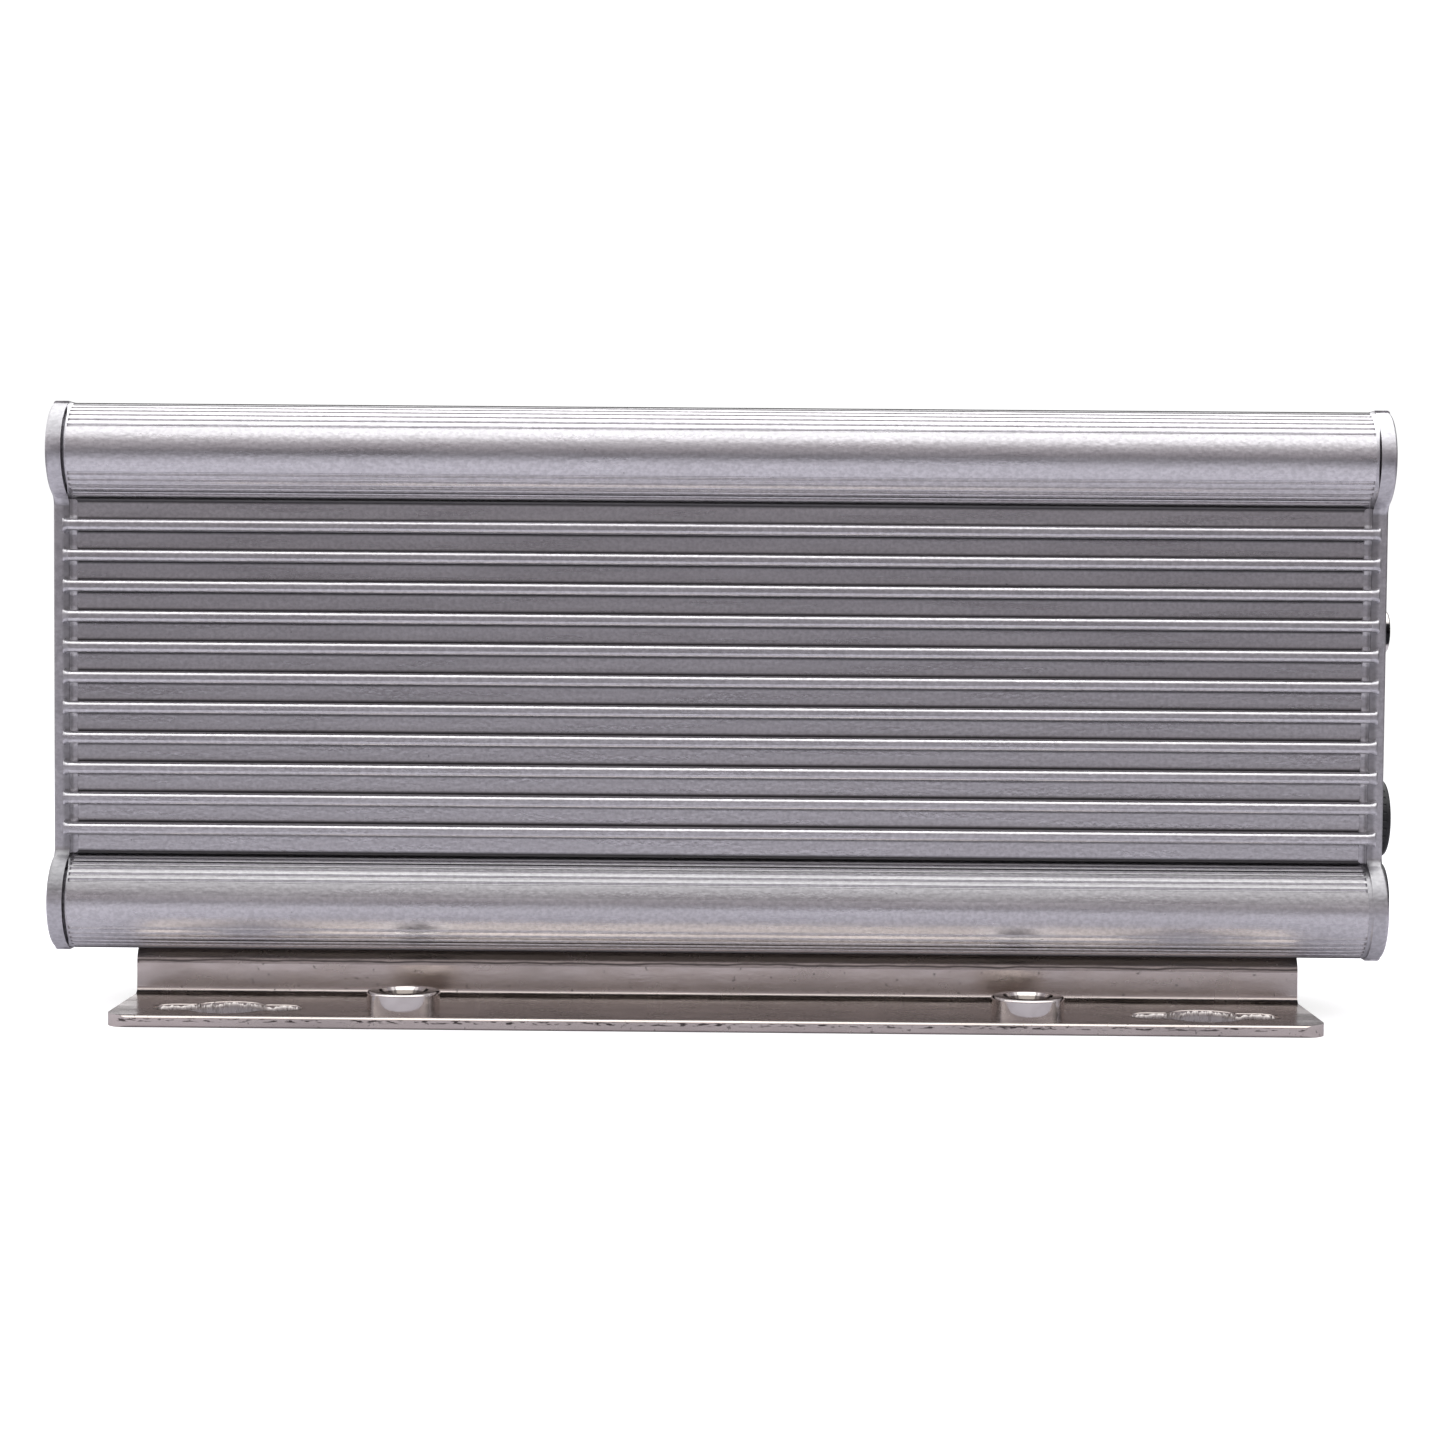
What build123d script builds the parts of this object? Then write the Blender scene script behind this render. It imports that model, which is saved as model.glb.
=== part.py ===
"""Micro inverter in a finned aluminium extrusion, standing on a plated steel hat bracket.

Frame: origin on the surface the bracket stands on, under the middle of the body.
+X runs along the extrusion to the AC end, +Y to the back, +Z up. Millimetres.
Every function below makes one sub-part, and PARTS at the end names the files.
"""
from build123d import *

import math
import os

# ---------------------------------------------------------------- driving dimensions
OVERALL_LENGTH = 200.0  # outer face to outer face of the end plates
BODY_HEIGHT = 82.0
BODY_DEPTH = 42.0
PLATE_THICKNESS = 2.4
GASKET_THICKNESS = 0.5
BEAD_RADIUS = 7.15  # the round corners of the extrusion
RECESS_DEPTH = 6.0  # from the front of a bead to the floor between the fins
SIDE_WALL = 3.0
END_WALL = 2.4  # top and bottom walls of the extrusion
PLATE_PROUD = 0.25  # how far an end plate's edge stands out past the beads
PLATE_FLOOR_PROUD = 0.8  # and past the floor between the fins
FIN_COUNT = 11
FIN_PITCH = 4.55
FIN_THICKNESS = 1.7
FIN_HEIGHT = 3.6

BRACKET_HEIGHT = 9.2
BRACKET_LENGTH = 177.0
BRACKET_WEB_HALF = 11.0  # from the middle to the outer face of a web
BRACKET_FLANGE = 23.0
SHEET = 1.8

BOARD_THICKNESS = 1.6
BOARD_FACE_Y = 5.2  # the component side of the main board
BOARD_X = (-72.0, 80.0)

# ---------------------------------------------------------------- derived places
END_X = OVERALL_LENGTH / 2
PLATE_INNER_X = END_X - PLATE_THICKNESS
HOUSING_END_X = PLATE_INNER_X - GASKET_THICKNESS
BASE_Z = BRACKET_HEIGHT  # underside of the extrusion
TOP_Z = BASE_Z + BODY_HEIGHT
MID_Z = BASE_Z + BODY_HEIGHT / 2
FLOOR_HALF = BODY_DEPTH / 2 - RECESS_DEPTH
CAVITY_HALF = FLOOR_HALF - SIDE_WALL
BEAD_Y = BODY_DEPTH / 2 - BEAD_RADIUS
BEAD_Z = (BASE_Z + BEAD_RADIUS, TOP_Z - BEAD_RADIUS)
BEAD_CENTRES = [(y, z) for y in (-BEAD_Y, BEAD_Y) for z in BEAD_Z]
CAVITY_BOTTOM = BASE_Z + END_WALL
CAVITY_TOP = TOP_Z - END_WALL

GROOVE_RADIUS = 0.3
GROOVE_ANGLES = [30.0 + 8.2 * i for i in range(6)]  # from straight out, both ways

SCREW_PORT_RADIUS = 1.65
PLATE_SCREW_RADIUS = 1.6
SCREW_CLEARANCE_RADIUS = 2.15
SCREW_HEAD_RADIUS = 3.75
SCREW_HEAD_DEPTH = 2.0

SLOT_X = 72.0
SLOT_LENGTH = 22.0
SLOT_WIDTH = 6.0
KEYHOLE_RADIUS = 6.0
FLANGE_HOLE_Y = BRACKET_WEB_HALF + 14.5
NUT_X = 46.0
NUT_OUTER_RADIUS = 5.4
NUT_HEIGHT = 2.8
NUT_SHANK_RADIUS = 3.9
NUT_BORE_RADIUS = 2.5
NUT_MOUTH_RADIUS = 3.75
BRACKET_SCREW_X = (-60.0, 0.0, 60.0)
BRACKET_SCREW_RADIUS = 1.95
BRACKET_SCREW_HEAD = (4.0, 2.6)  # radius, height
WASHER_THICKNESS = 0.8

LED_Z = BASE_Z + 49.1
AC_Z = {"upper": BASE_Z + 20.1, "lower": BASE_Z + 7.3}
PV_Z = (BASE_Z + 27.0, BASE_Z + 55.0)

SPREADER_X = (-66.0, 68.0)
SPREADER_Y = (-10.4, 3.0)
SPREADER_HEIGHT = 6.0
PAD_THICKNESS = 0.5
TRANSISTOR_SIZE = (10.0, 14.4, 4.5)
DC_TRANSISTOR_X = [-58.0 + 14.0 * i for i in range(4)]
AC_TRANSISTOR_X = [12.0 + 14.0 * i for i in range(4)]
TRANSFORMER_X = (-19.0, 14.0)
TRANSFORMER_Z = BASE_Z + 42.0
INPUT_CAPACITOR_Z = [BASE_Z + z for z in (26.0, 43.5, 61.0)]


# ---------------------------------------------------------------- small helpers
ON_END = (Align.CENTER, Align.CENTER, Align.MIN)  # a rod stands on its lower end


def block(x, y, z):
    """A box from three (low, high) pairs."""
    size = [max(pair) - min(pair) for pair in (x, y, z)]
    middle = [sum(pair) / 2 for pair in (x, y, z)]
    return Pos(*middle) * Box(*size)


def rod_x(radius, x, y, z):
    """A cylinder along X, from x[0] to x[1]."""
    return Pos(min(x), y, z) * Rot(0, 90, 0) * Cylinder(radius, abs(x[1] - x[0]), align=ON_END)


def rod_y(radius, x, y, z):
    """A cylinder along Y, from y[0] to y[1]."""
    return Pos(x, max(y), z) * Rot(90, 0, 0) * Cylinder(radius, abs(y[1] - y[0]), align=ON_END)


def rod_z(radius, x, y, z):
    """A cylinder along Z, from z[0] to z[1]."""
    return Pos(x, y, min(z)) * Cylinder(radius, abs(z[1] - z[0]), align=ON_END)


def hex_x(across_flats, x, y, z):
    """A hexagonal bar along X with flats above and below, from x[0] to x[1]."""
    outline = RegularPolygon(across_flats / 2, 6, major_radius=False, rotation=30)
    bar = extrude(outline, amount=abs(x[1] - x[0]))
    return Pos(min(x), y, z) * Rot(0, 90, 0) * bar


def cone_x(x, radii, y, z):
    """A cone along X with radii[0] at x[0] and radii[1] at x[1], where x[0] is below x[1]."""
    return Pos(x[0], y, z) * Rot(0, 90, 0) * Cone(radii[0], radii[1], x[1] - x[0], align=ON_END)


def group(shapes):
    """Separate solids that share one node."""
    return Compound(children=[solid for shape in shapes for solid in shape.solids()])


def lead(points, radius):
    """A wire: straight runs joined by tangent arcs as large as their runs allow."""
    route = [Vector(*p) for p in points]
    radii = []
    for before, corner, after in zip(route, route[1:], route[2:]):
        turn = math.radians((corner - before).get_angle(after - corner))
        shorter = min((corner - before).length, (after - corner).length)
        radii.append(0.45 * shorter / math.tan(turn / 2))
    path = FilletPolyline(*route, radius=radii)
    section = Plane(origin=path @ 0, z_dir=path % 0) * Circle(radius)
    return sweep(section, path=path)


# ---------------------------------------------------------------- extrusion and ends
def body_outline(grow=0.0, floor_half=FLOOR_HALF, root_radius=0.6):
    """The extrusion's outline without its fins: a slab with a round bead on each corner."""
    outline = Pos(0, MID_Z) * Rectangle(2 * floor_half, BODY_HEIGHT + 2 * grow)
    for y, z in BEAD_CENTRES:
        outline += Pos(y, z) * Circle(BEAD_RADIUS + grow)
    root_z = BODY_HEIGHT / 2 - 2 * BEAD_RADIUS - grow
    roots = [(y * floor_half, MID_Z + z * root_z) for y in (-1, 1) for z in (-1, 1)]
    return fillet(corners_at(outline, roots), root_radius)


def cavity_outline():
    return Pos(0, MID_Z) * RectangleRounded(2 * CAVITY_HALF, CAVITY_TOP - CAVITY_BOTTOM, 1.5)


def housing():
    """The extruded case, with fins on both broad sides and card slots for the board."""
    outline = body_outline()
    fin_reach = FIN_HEIGHT + 2.0
    for side in (-1, 1):
        for i in range(FIN_COUNT):
            z = MID_Z + (i - (FIN_COUNT - 1) / 2) * FIN_PITCH
            y = side * (FLOOR_HALF + FIN_HEIGHT - fin_reach / 2)
            outline += Pos(y, z) * RectangleRounded(fin_reach, FIN_THICKNESS, 0.6)
    for y, z in BEAD_CENTRES:
        out = math.copysign(1, y)
        for angle in GROOVE_ANGLES:
            for up in (-1, 1):
                bend = math.radians(angle)
                groove_y = y + out * BEAD_RADIUS * math.cos(bend)
                groove_z = z + up * BEAD_RADIUS * math.sin(bend)
                outline -= Pos(groove_y, groove_z) * Circle(GROOVE_RADIUS)

    outline -= cavity_outline()
    rib_height, rib_width, slot_play = 2.2, 1.2, 0.1
    for face_y in (
        BOARD_FACE_Y - slot_play - rib_width / 2,
        BOARD_FACE_Y + BOARD_THICKNESS + slot_play + rib_width / 2,
    ):
        for z in (CAVITY_BOTTOM + rib_height / 2, CAVITY_TOP - rib_height / 2):
            outline += Pos(face_y, z) * Rectangle(rib_width, rib_height + 0.4)
    port_slot = 1.2
    for y, z in BEAD_CENTRES:
        outline -= Pos(y, z) * Circle(SCREW_PORT_RADIUS)
        outline -= Pos(math.copysign(CAVITY_HALF + 0.5, y), z) * Rectangle(2.0, port_slot)

    case = extrude(Plane.YZ * outline, amount=2 * HOUSING_END_X)
    case = Pos(-HOUSING_END_X, 0, 0) * case
    for x in BRACKET_SCREW_X:
        case -= rod_z(BRACKET_SCREW_RADIUS + 0.1, x, 0, (BASE_Z - 1, CAVITY_BOTTOM + 1))
    return case


def end_plate(side):
    """A blank end plate with four countersunk screw holes. Its outer face is at side * END_X."""
    outline = body_outline(PLATE_PROUD, FLOOR_HALF + PLATE_FLOOR_PROUD, 1.5)
    plate = extrude(Plane.YZ * outline, amount=PLATE_THICKNESS)
    plate = Pos(PLATE_INNER_X if side > 0 else -END_X, 0, 0) * plate
    outer_edges = plate.edges().filter_by_position(Axis.X, side * END_X - 0.01, side * END_X + 0.01)
    plate = fillet(outer_edges, 0.6)
    for y, z in BEAD_CENTRES:
        plate -= rod_x(SCREW_CLEARANCE_RADIUS, (-END_X, END_X), y, z)
        plate -= countersink(side, y, z)
    return plate


def countersink(side, y, z):
    """The cone that a plate screw's head sits in, with a little room round the head."""
    wide, narrow = SCREW_HEAD_RADIUS + 0.15, SCREW_CLEARANCE_RADIUS
    inner = END_X - SCREW_HEAD_DEPTH
    if side > 0:
        return cone_x((inner, END_X), (narrow, wide), y, z)
    return cone_x((-END_X, -inner), (wide, narrow), y, z)


def end_plate_dc():
    plate = end_plate(-1)
    for z in PV_Z:
        plate -= rod_x(PV_BARREL_RADIUS + 0.1, (-END_X - 1, -PLATE_INNER_X + 1), 0, z)
    return plate


def end_plate_ac():
    plate = end_plate(1)
    for z in AC_Z.values():
        plate -= rod_x(AC_BARREL_RADIUS + 0.1, (PLATE_INNER_X - 1, END_X + 1), 0, z)
    plate -= rod_x(LED_BARREL_RADIUS + 0.1, (PLATE_INNER_X - 1, END_X + 1), 0, LED_Z)
    return plate


def end_gasket(side):
    """Flat rubber gasket between the extrusion and an end plate, a little inside their edge."""
    inset = 0.55
    outline = body_outline(-inset, FLOOR_HALF - inset) - cavity_outline()
    gasket = extrude(Plane.YZ * outline, amount=GASKET_THICKNESS)
    gasket = Pos(HOUSING_END_X if side > 0 else -PLATE_INNER_X, 0, 0) * gasket
    for y, z in BEAD_CENTRES:
        gasket -= rod_x(SCREW_CLEARANCE_RADIUS, (-END_X, END_X), y, z)
    return gasket


def plate_screws(side):
    """Four countersunk cross-head screws, flush with the end plate."""
    return group(plate_screw(side, y, z) for y, z in BEAD_CENTRES)


def plate_screw(side, y, z):
    length, flush = 12.0, 0.05
    face = END_X - flush
    neck = face - SCREW_HEAD_DEPTH
    recess_depth, recess_width, recess_length = 1.5, 0.9, 4.2
    if side > 0:
        screw = cone_x((neck, face), (PLATE_SCREW_RADIUS, SCREW_HEAD_RADIUS), y, z)
        screw += rod_x(PLATE_SCREW_RADIUS, (face - length, neck), y, z)
    else:
        screw = cone_x((-face, -neck), (SCREW_HEAD_RADIUS, PLATE_SCREW_RADIUS), y, z)
        screw += rod_x(PLATE_SCREW_RADIUS, (-neck, length - face), y, z)
    depth = sorted((side * (face - recess_depth), side * (face + 1)))
    for wide, tall in ((recess_length, recess_width), (recess_width, recess_length)):
        screw -= block(depth, (y - wide / 2, y + wide / 2), (z - tall / 2, z + tall / 2))
    return screw


# ---------------------------------------------------------------- bracket
def mounting_bracket():
    """A folded hat section: the top carries the body, and each flange has two double keyholes."""
    inner, outer = 1.0, 1.0 + SHEET
    reach = BRACKET_WEB_HALF + BRACKET_FLANGE
    web_in = BRACKET_WEB_HALF - SHEET
    top = BRACKET_HEIGHT
    upper = [(-reach, SHEET), (-BRACKET_WEB_HALF, SHEET), (-BRACKET_WEB_HALF, top)]
    lower = [(reach, 0), (web_in, 0), (web_in, top - SHEET)]
    over = upper + [(-y, z) for y, z in reversed(upper)]
    under = lower + [(-y, z) for y, z in reversed(lower)]
    section = make_face(Polyline(*over, *under, close=True))
    tight = [(s * BRACKET_WEB_HALF, SHEET) for s in (-1, 1)]
    tight += [(s * web_in, top - SHEET) for s in (-1, 1)]
    wide = [(s * BRACKET_WEB_HALF, top) for s in (-1, 1)] + [(s * web_in, 0) for s in (-1, 1)]
    section = fillet(corners_at(section, tight), inner)
    section = fillet(corners_at(section, wide), outer)
    ends = [(s * reach, z) for s in (-1, 1) for z in (0, SHEET)]
    section = fillet(corners_at(section, ends), 0.45)
    bracket = extrude(Plane.YZ * section, amount=BRACKET_LENGTH)
    bracket = Pos(-BRACKET_LENGTH / 2, 0, 0) * bracket

    corner = 3.5
    bracket &= rounded_plan(BRACKET_LENGTH, 2 * reach, corner)
    for side in (-1, 1):
        for x in (-SLOT_X, SLOT_X):
            bracket -= double_keyhole(x, side * FLANGE_HOLE_Y)
        for x in (-NUT_X, NUT_X):
            hole = rod_z(NUT_SHANK_RADIUS, x, side * FLANGE_HOLE_Y, (-1, SHEET + 0.2))
            bracket -= hole
    for x in BRACKET_SCREW_X:
        bracket -= rod_z(BRACKET_SCREW_RADIUS + 0.15, x, 0, (top - SHEET - 1, top + 1))
    return bracket


def corners_at(section, places):
    """The vertices of a flat section nearest to each of these (x, y) places."""
    return [min(section.vertices(), key=lambda v: math.dist((v.X, v.Y), place)) for place in places]


def rounded_plan(length, width, corner):
    """A tall block whose plan is a rounded rectangle, to round the bracket's corners."""
    return Pos(0, 0, -1) * extrude(RectangleRounded(length, width, corner), amount=BRACKET_HEIGHT + 2)


def double_keyhole(x, y):
    """A round hole for a bolt head with a slot to each side of it for the shank."""
    cut = SlotOverall(SLOT_LENGTH, SLOT_WIDTH) + Circle(KEYHOLE_RADIUS)
    return Pos(x, y, -1) * extrude(cut, amount=SHEET + 2)


def clinch_nuts():
    """Four M6 press-in nuts, one each side of the middle on each flange."""
    nuts = []
    top = SHEET + NUT_HEIGHT
    for x in (-NUT_X, NUT_X):
        for y in (-FLANGE_HOLE_Y, FLANGE_HOLE_Y):
            collar = rod_z(NUT_OUTER_RADIUS, x, y, (SHEET, top))
            collar = fillet(collar.edges().group_by(Axis.Z)[-1], 0.4)
            nut = collar + rod_z(NUT_SHANK_RADIUS, x, y, (0, SHEET))
            nut -= rod_z(NUT_BORE_RADIUS, x, y, (-1, top + 1))
            mouth_depth = NUT_MOUTH_RADIUS - NUT_BORE_RADIUS
            mouth = Cone(NUT_BORE_RADIUS, NUT_MOUTH_RADIUS, mouth_depth, align=ON_END)
            nut -= Pos(x, y, top - mouth_depth) * mouth
            nuts.append(nut)
    return group(nuts)


def bracket_screws():
    """Three pan-head screws that go up through the bracket and the case into the heat spreader."""
    head_radius, head_height = BRACKET_SCREW_HEAD
    seat = BRACKET_HEIGHT - SHEET - WASHER_THICKNESS
    screws = []
    for x in BRACKET_SCREW_X:
        head = rod_z(head_radius, x, 0, (seat - head_height, seat))
        head = fillet(head.edges().group_by(Axis.Z)[0], 1.2)
        shank = rod_z(BRACKET_SCREW_RADIUS, x, 0, (seat, seat + 9.0))
        screw = head + shank
        low = seat - head_height
        for wide, deep in ((4.4, 1.0), (1.0, 4.4)):
            cross_x = (x - wide / 2, x + wide / 2)
            screw -= block(cross_x, (-deep / 2, deep / 2), (low - 1, low + 1.5))
        screws.append(screw)
    return group(screws)


def bracket_washers():
    seat = BRACKET_HEIGHT - SHEET
    washers = []
    for x in BRACKET_SCREW_X:
        washer = rod_z(4.4, x, 0, (seat - WASHER_THICKNESS, seat))
        washers.append(washer - rod_z(2.15, x, 0, (0, BRACKET_HEIGHT)))
    return group(washers)


# ---------------------------------------------------------------- AC end: lamp and sockets
LED_BARREL_RADIUS = 2.9
LED_BORE_RADIUS = 2.3
LED_RADIUS = 2.25
LED_BEZEL_RADIUS = 3.35
LED_BEZEL_END = END_X + 3.46


def led_bezel():
    """Bright plated bezel of the status lamp, a short round rim on a threaded barrel."""
    rim = rod_x(LED_BEZEL_RADIUS, (END_X, LED_BEZEL_END), 0, LED_Z)
    rim = fillet(rim.edges().group_by(Axis.X)[-1], 0.45)
    bezel = rim + rod_x(LED_BARREL_RADIUS, (PLATE_INNER_X - 5.0, END_X), 0, LED_Z)
    return bezel - rod_x(LED_BORE_RADIUS, (0, END_X + 5), 0, LED_Z)


def led_lens():
    """The lamp's clear body, with a domed end that stands a little out of the bezel."""
    dome_x = END_X + 1.6
    lens = rod_x(LED_RADIUS, (PLATE_INNER_X - 4.0, dome_x), 0, LED_Z)
    return lens + Pos(dome_x, 0, LED_Z) * Sphere(LED_RADIUS)


def led_nut():
    x = (PLATE_INNER_X - 2.2, PLATE_INNER_X)
    return hex_x(8.0, x, 0, LED_Z) - rod_x(LED_BARREL_RADIUS + 0.05, x, 0, LED_Z)


AC_BARREL_RADIUS = 4.0
AC_FLANGE_RADIUS = 5.9
AC_COLLAR_RADIUS = 4.9
AC_BORE_RADIUS = 3.2
AC_FLANGE_X = (END_X + 0.4, END_X + 1.2)
AC_COLLAR_END = END_X + 2.3
AC_REAR_X = END_X - 12.0
AC_PIN_RADIUS = 0.6
AC_PIN_CIRCLE = 1.8
AC_PIN_ANGLES = (90, 210, 330)


def ac_pin_places(z):
    """The (y, z) places of a socket's three pins."""
    turns = [math.radians(angle) for angle in AC_PIN_ANGLES]
    return [(AC_PIN_CIRCLE * math.cos(t), z + AC_PIN_CIRCLE * math.sin(t)) for t in turns]


def ac_socket(z):
    """Panel socket for a mains lead: flange, threaded barrel behind and collar in front."""
    body = rod_x(AC_BARREL_RADIUS, (AC_REAR_X, AC_FLANGE_X[0]), 0, z)
    body += rod_x(AC_FLANGE_RADIUS, AC_FLANGE_X, 0, z)
    body += rod_x(AC_COLLAR_RADIUS, (AC_FLANGE_X[1], AC_COLLAR_END), 0, z)
    return body - rod_x(AC_BORE_RADIUS, (0, END_X + 9), 0, z)


def ac_socket_inserts():
    """The moulded pin carrier pressed into each socket."""
    inserts = []
    for socket_z in AC_Z.values():
        insert = rod_x(AC_BORE_RADIUS, (AC_REAR_X, AC_REAR_X + 4.0), 0, socket_z)
        for y, z in ac_pin_places(socket_z):
            insert -= rod_x(AC_PIN_RADIUS, (0, END_X), y, z)
        inserts.append(insert)
    return group(inserts)


def ac_socket_pins():
    """Three pins in each socket."""
    places = [place for z in AC_Z.values() for place in ac_pin_places(z)]
    return group(rod_x(AC_PIN_RADIUS, (AC_REAR_X - 2.0, END_X), y, z) for y, z in places)


def ac_socket_nuts():
    x = (PLATE_INNER_X - 2.5, PLATE_INNER_X)
    hole = AC_BARREL_RADIUS + 0.05
    return group(hex_x(9.6, x, 0, z) - rod_x(hole, x, 0, z) for z in AC_Z.values())


def ac_socket_seals():
    """A flat rubber ring under each socket's flange."""
    x = (END_X, AC_FLANGE_X[0])
    hole = AC_BARREL_RADIUS + 0.05
    return group(rod_x(5.7, x, 0, z) - rod_x(hole, x, 0, z) for z in AC_Z.values())


AC_CAP_RADIUS = 5.95
AC_CAP_X = (AC_FLANGE_X[1] + 0.15, END_X + 3.5)
AC_CAP_ROOF_X = AC_COLLAR_END + 0.5


def ac_cap(z):
    """Screw cap over a socket, with a finely ribbed rim."""
    cap = rod_x(AC_CAP_RADIUS, AC_CAP_X, 0, z)
    cap = fillet(cap.edges().group_by(Axis.X)[-1], 0.5)
    cap -= rod_x(AC_COLLAR_RADIUS + 0.1, (END_X, AC_CAP_ROOF_X), 0, z)
    ribs, rib_circle = 30, AC_CAP_RADIUS + 0.12
    for i in range(ribs):
        turn = 2 * math.pi * i / ribs
        place = (rib_circle * math.cos(turn), z + rib_circle * math.sin(turn))
        cap -= rod_x(0.25, (AC_CAP_X[0] - 1, AC_CAP_X[1] - 0.7), *place)
    return cap


def ac_cap_seal(z):
    """Rubber ring inside a cap, pressed on the end of the collar."""
    x = (AC_COLLAR_END + 0.02, AC_CAP_ROOF_X - 0.02)
    return rod_x(4.8, x, 0, z) - rod_x(3.6, x, 0, z)


# ---------------------------------------------------------------- DC end: two PV sockets
PV_BARREL_RADIUS = 6.5
PV_BORE_RADIUS = 4.6
PV_FLANGE_X = (-END_X - 1.55, -END_X - 0.3)
PV_REAR_X = -END_X + 20.0
PV_FLOOR_X = PV_REAR_X - 3.5
PV_CONTACT_X = (-END_X + 10.0, -END_X + 22.0)


def pv_socket(z):
    """One pole of the panel input: a low flange and a barrel with a deep round recess."""
    body = rod_x(8.5, PV_FLANGE_X, 0, z)
    body = fillet(body.edges().group_by(Axis.X)[0], 0.5)
    body += rod_x(PV_BARREL_RADIUS, (PV_FLANGE_X[1], PV_REAR_X), 0, z)
    body -= rod_x(PV_BORE_RADIUS, (PV_FLANGE_X[0] - 1, PV_FLOOR_X), 0, z)
    return body - rod_x(1.9, (PV_FLOOR_X - 1, PV_REAR_X + 1), 0, z)


def pv_contacts():
    """Tinned contacts with a solder cup at the back."""
    contacts = []
    for z in PV_Z:
        pin = rod_x(1.9, PV_CONTACT_X, 0, z)
        pin = chamfer(pin.edges().group_by(Axis.X)[0], 0.6)
        contacts.append(pin)
    return group(contacts)


def pv_socket_nuts():
    x = (-PLATE_INNER_X, -PLATE_INNER_X + 3.5)
    return group(hex_x(17.0, x, 0, z) - rod_x(PV_BARREL_RADIUS + 0.05, x, 0, z) for z in PV_Z)


def pv_socket_seals():
    x = (PV_FLANGE_X[1], -END_X)
    return group(rod_x(8.1, x, 0, z) - rod_x(PV_BARREL_RADIUS + 0.05, x, 0, z) for z in PV_Z)


# ---------------------------------------------------------------- boards and their parts
def main_board():
    """The power board, held by its long edges in the case's card slots."""
    edge_play = 0.5
    y = (BOARD_FACE_Y, BOARD_FACE_Y + BOARD_THICKNESS)
    return block(BOARD_X, y, (CAVITY_BOTTOM + edge_play, CAVITY_TOP - edge_play))


def standing_block(x, z, width, height, tall):
    """A boxed component that stands on the board: width along X, height along Z."""
    y = (BOARD_FACE_Y - tall, BOARD_FACE_Y)
    return block((x - width / 2, x + width / 2), y, (z - height / 2, z + height / 2))


def softened(shape, radius):
    """The shape with every edge rounded."""
    return fillet(shape.edges(), radius)


CONTROL_BOARD_Z = BASE_Z + 71.0
CONTROL_BOARD_X = (-36.0, 30.0)
CONTROL_BOARD_Y = (BOARD_FACE_Y - 14.5, BOARD_FACE_Y)


def control_board():
    return block(CONTROL_BOARD_X, CONTROL_BOARD_Y, (CONTROL_BOARD_Z, CONTROL_BOARD_Z + 1.2))


def control_chips():
    """The processor and the smaller circuits on the upper face of the control board."""
    top = CONTROL_BOARD_Z + 1.2
    y_middle = sum(CONTROL_BOARD_Y) / 2
    chips = []
    for x, width, depth in ((-26, 5, 4), (-14, 10, 10), (0, 5, 6.2), (10, 5, 6.2), (22, 7, 5)):
        spread = (x - width / 2, x + width / 2)
        chips.append(block(spread, (y_middle - depth / 2, y_middle + depth / 2), (top, top + 1.1)))
    return group(chips)


def input_capacitors():
    """Three electrolytic cans lying on the board beside the DC input."""
    radius, x = 8.0, (-69.0, -37.0)
    cans = []
    for z in INPUT_CAPACITOR_Z:
        can = rod_x(radius, x, BOARD_FACE_Y - radius - 0.2, z)
        can = fillet(can.edges(), 0.8)
        ring = rod_x(radius + 1, (x[0] + 3.0, x[0] + 4.2), BOARD_FACE_Y - radius - 0.2, z)
        ring -= rod_x(radius - 0.5, (x[0] + 2, x[0] + 5), BOARD_FACE_Y - radius - 0.2, z)
        cans.append(can - ring)
    return group(cans)


BUS_CAPACITOR_X = (40.5, 57.5)


def bus_capacitors():
    """Two high-voltage cans, lying up the board."""
    radius, z = 8.0, (BASE_Z + 19.0, BASE_Z + 49.0)
    cans = []
    for x in BUS_CAPACITOR_X:
        can = rod_z(radius, x, BOARD_FACE_Y - radius - 0.2, z)
        cans.append(fillet(can.edges(), 0.8))
    return group(cans)


CORE_SIZE = (30.0, 13.0, 30.0)
CORE_Y = (BOARD_FACE_Y - 2.0 - CORE_SIZE[1], BOARD_FACE_Y - 2.0)
CORE_LEG = 5.0
CENTRE_LEG = 10.0


def transformer_cores():
    """Each core is a ferrite frame with a middle leg along Z that carries the winding."""
    cores = []
    for x in TRANSFORMER_X:
        half = CORE_SIZE[0] / 2
        core = block((x - half, x + half), CORE_Y, (TRANSFORMER_Z - half, TRANSFORMER_Z + half))
        for side in (-1, 1):
            window = sorted((x + side * CENTRE_LEG / 2, x + side * (half - CORE_LEG)))
            window_z = (TRANSFORMER_Z - half + CORE_LEG, TRANSFORMER_Z + half - CORE_LEG)
            core -= block(window, (CORE_Y[0] - 1, CORE_Y[1] + 1), window_z)
        cores.append(core)
    return group(cores)


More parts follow.
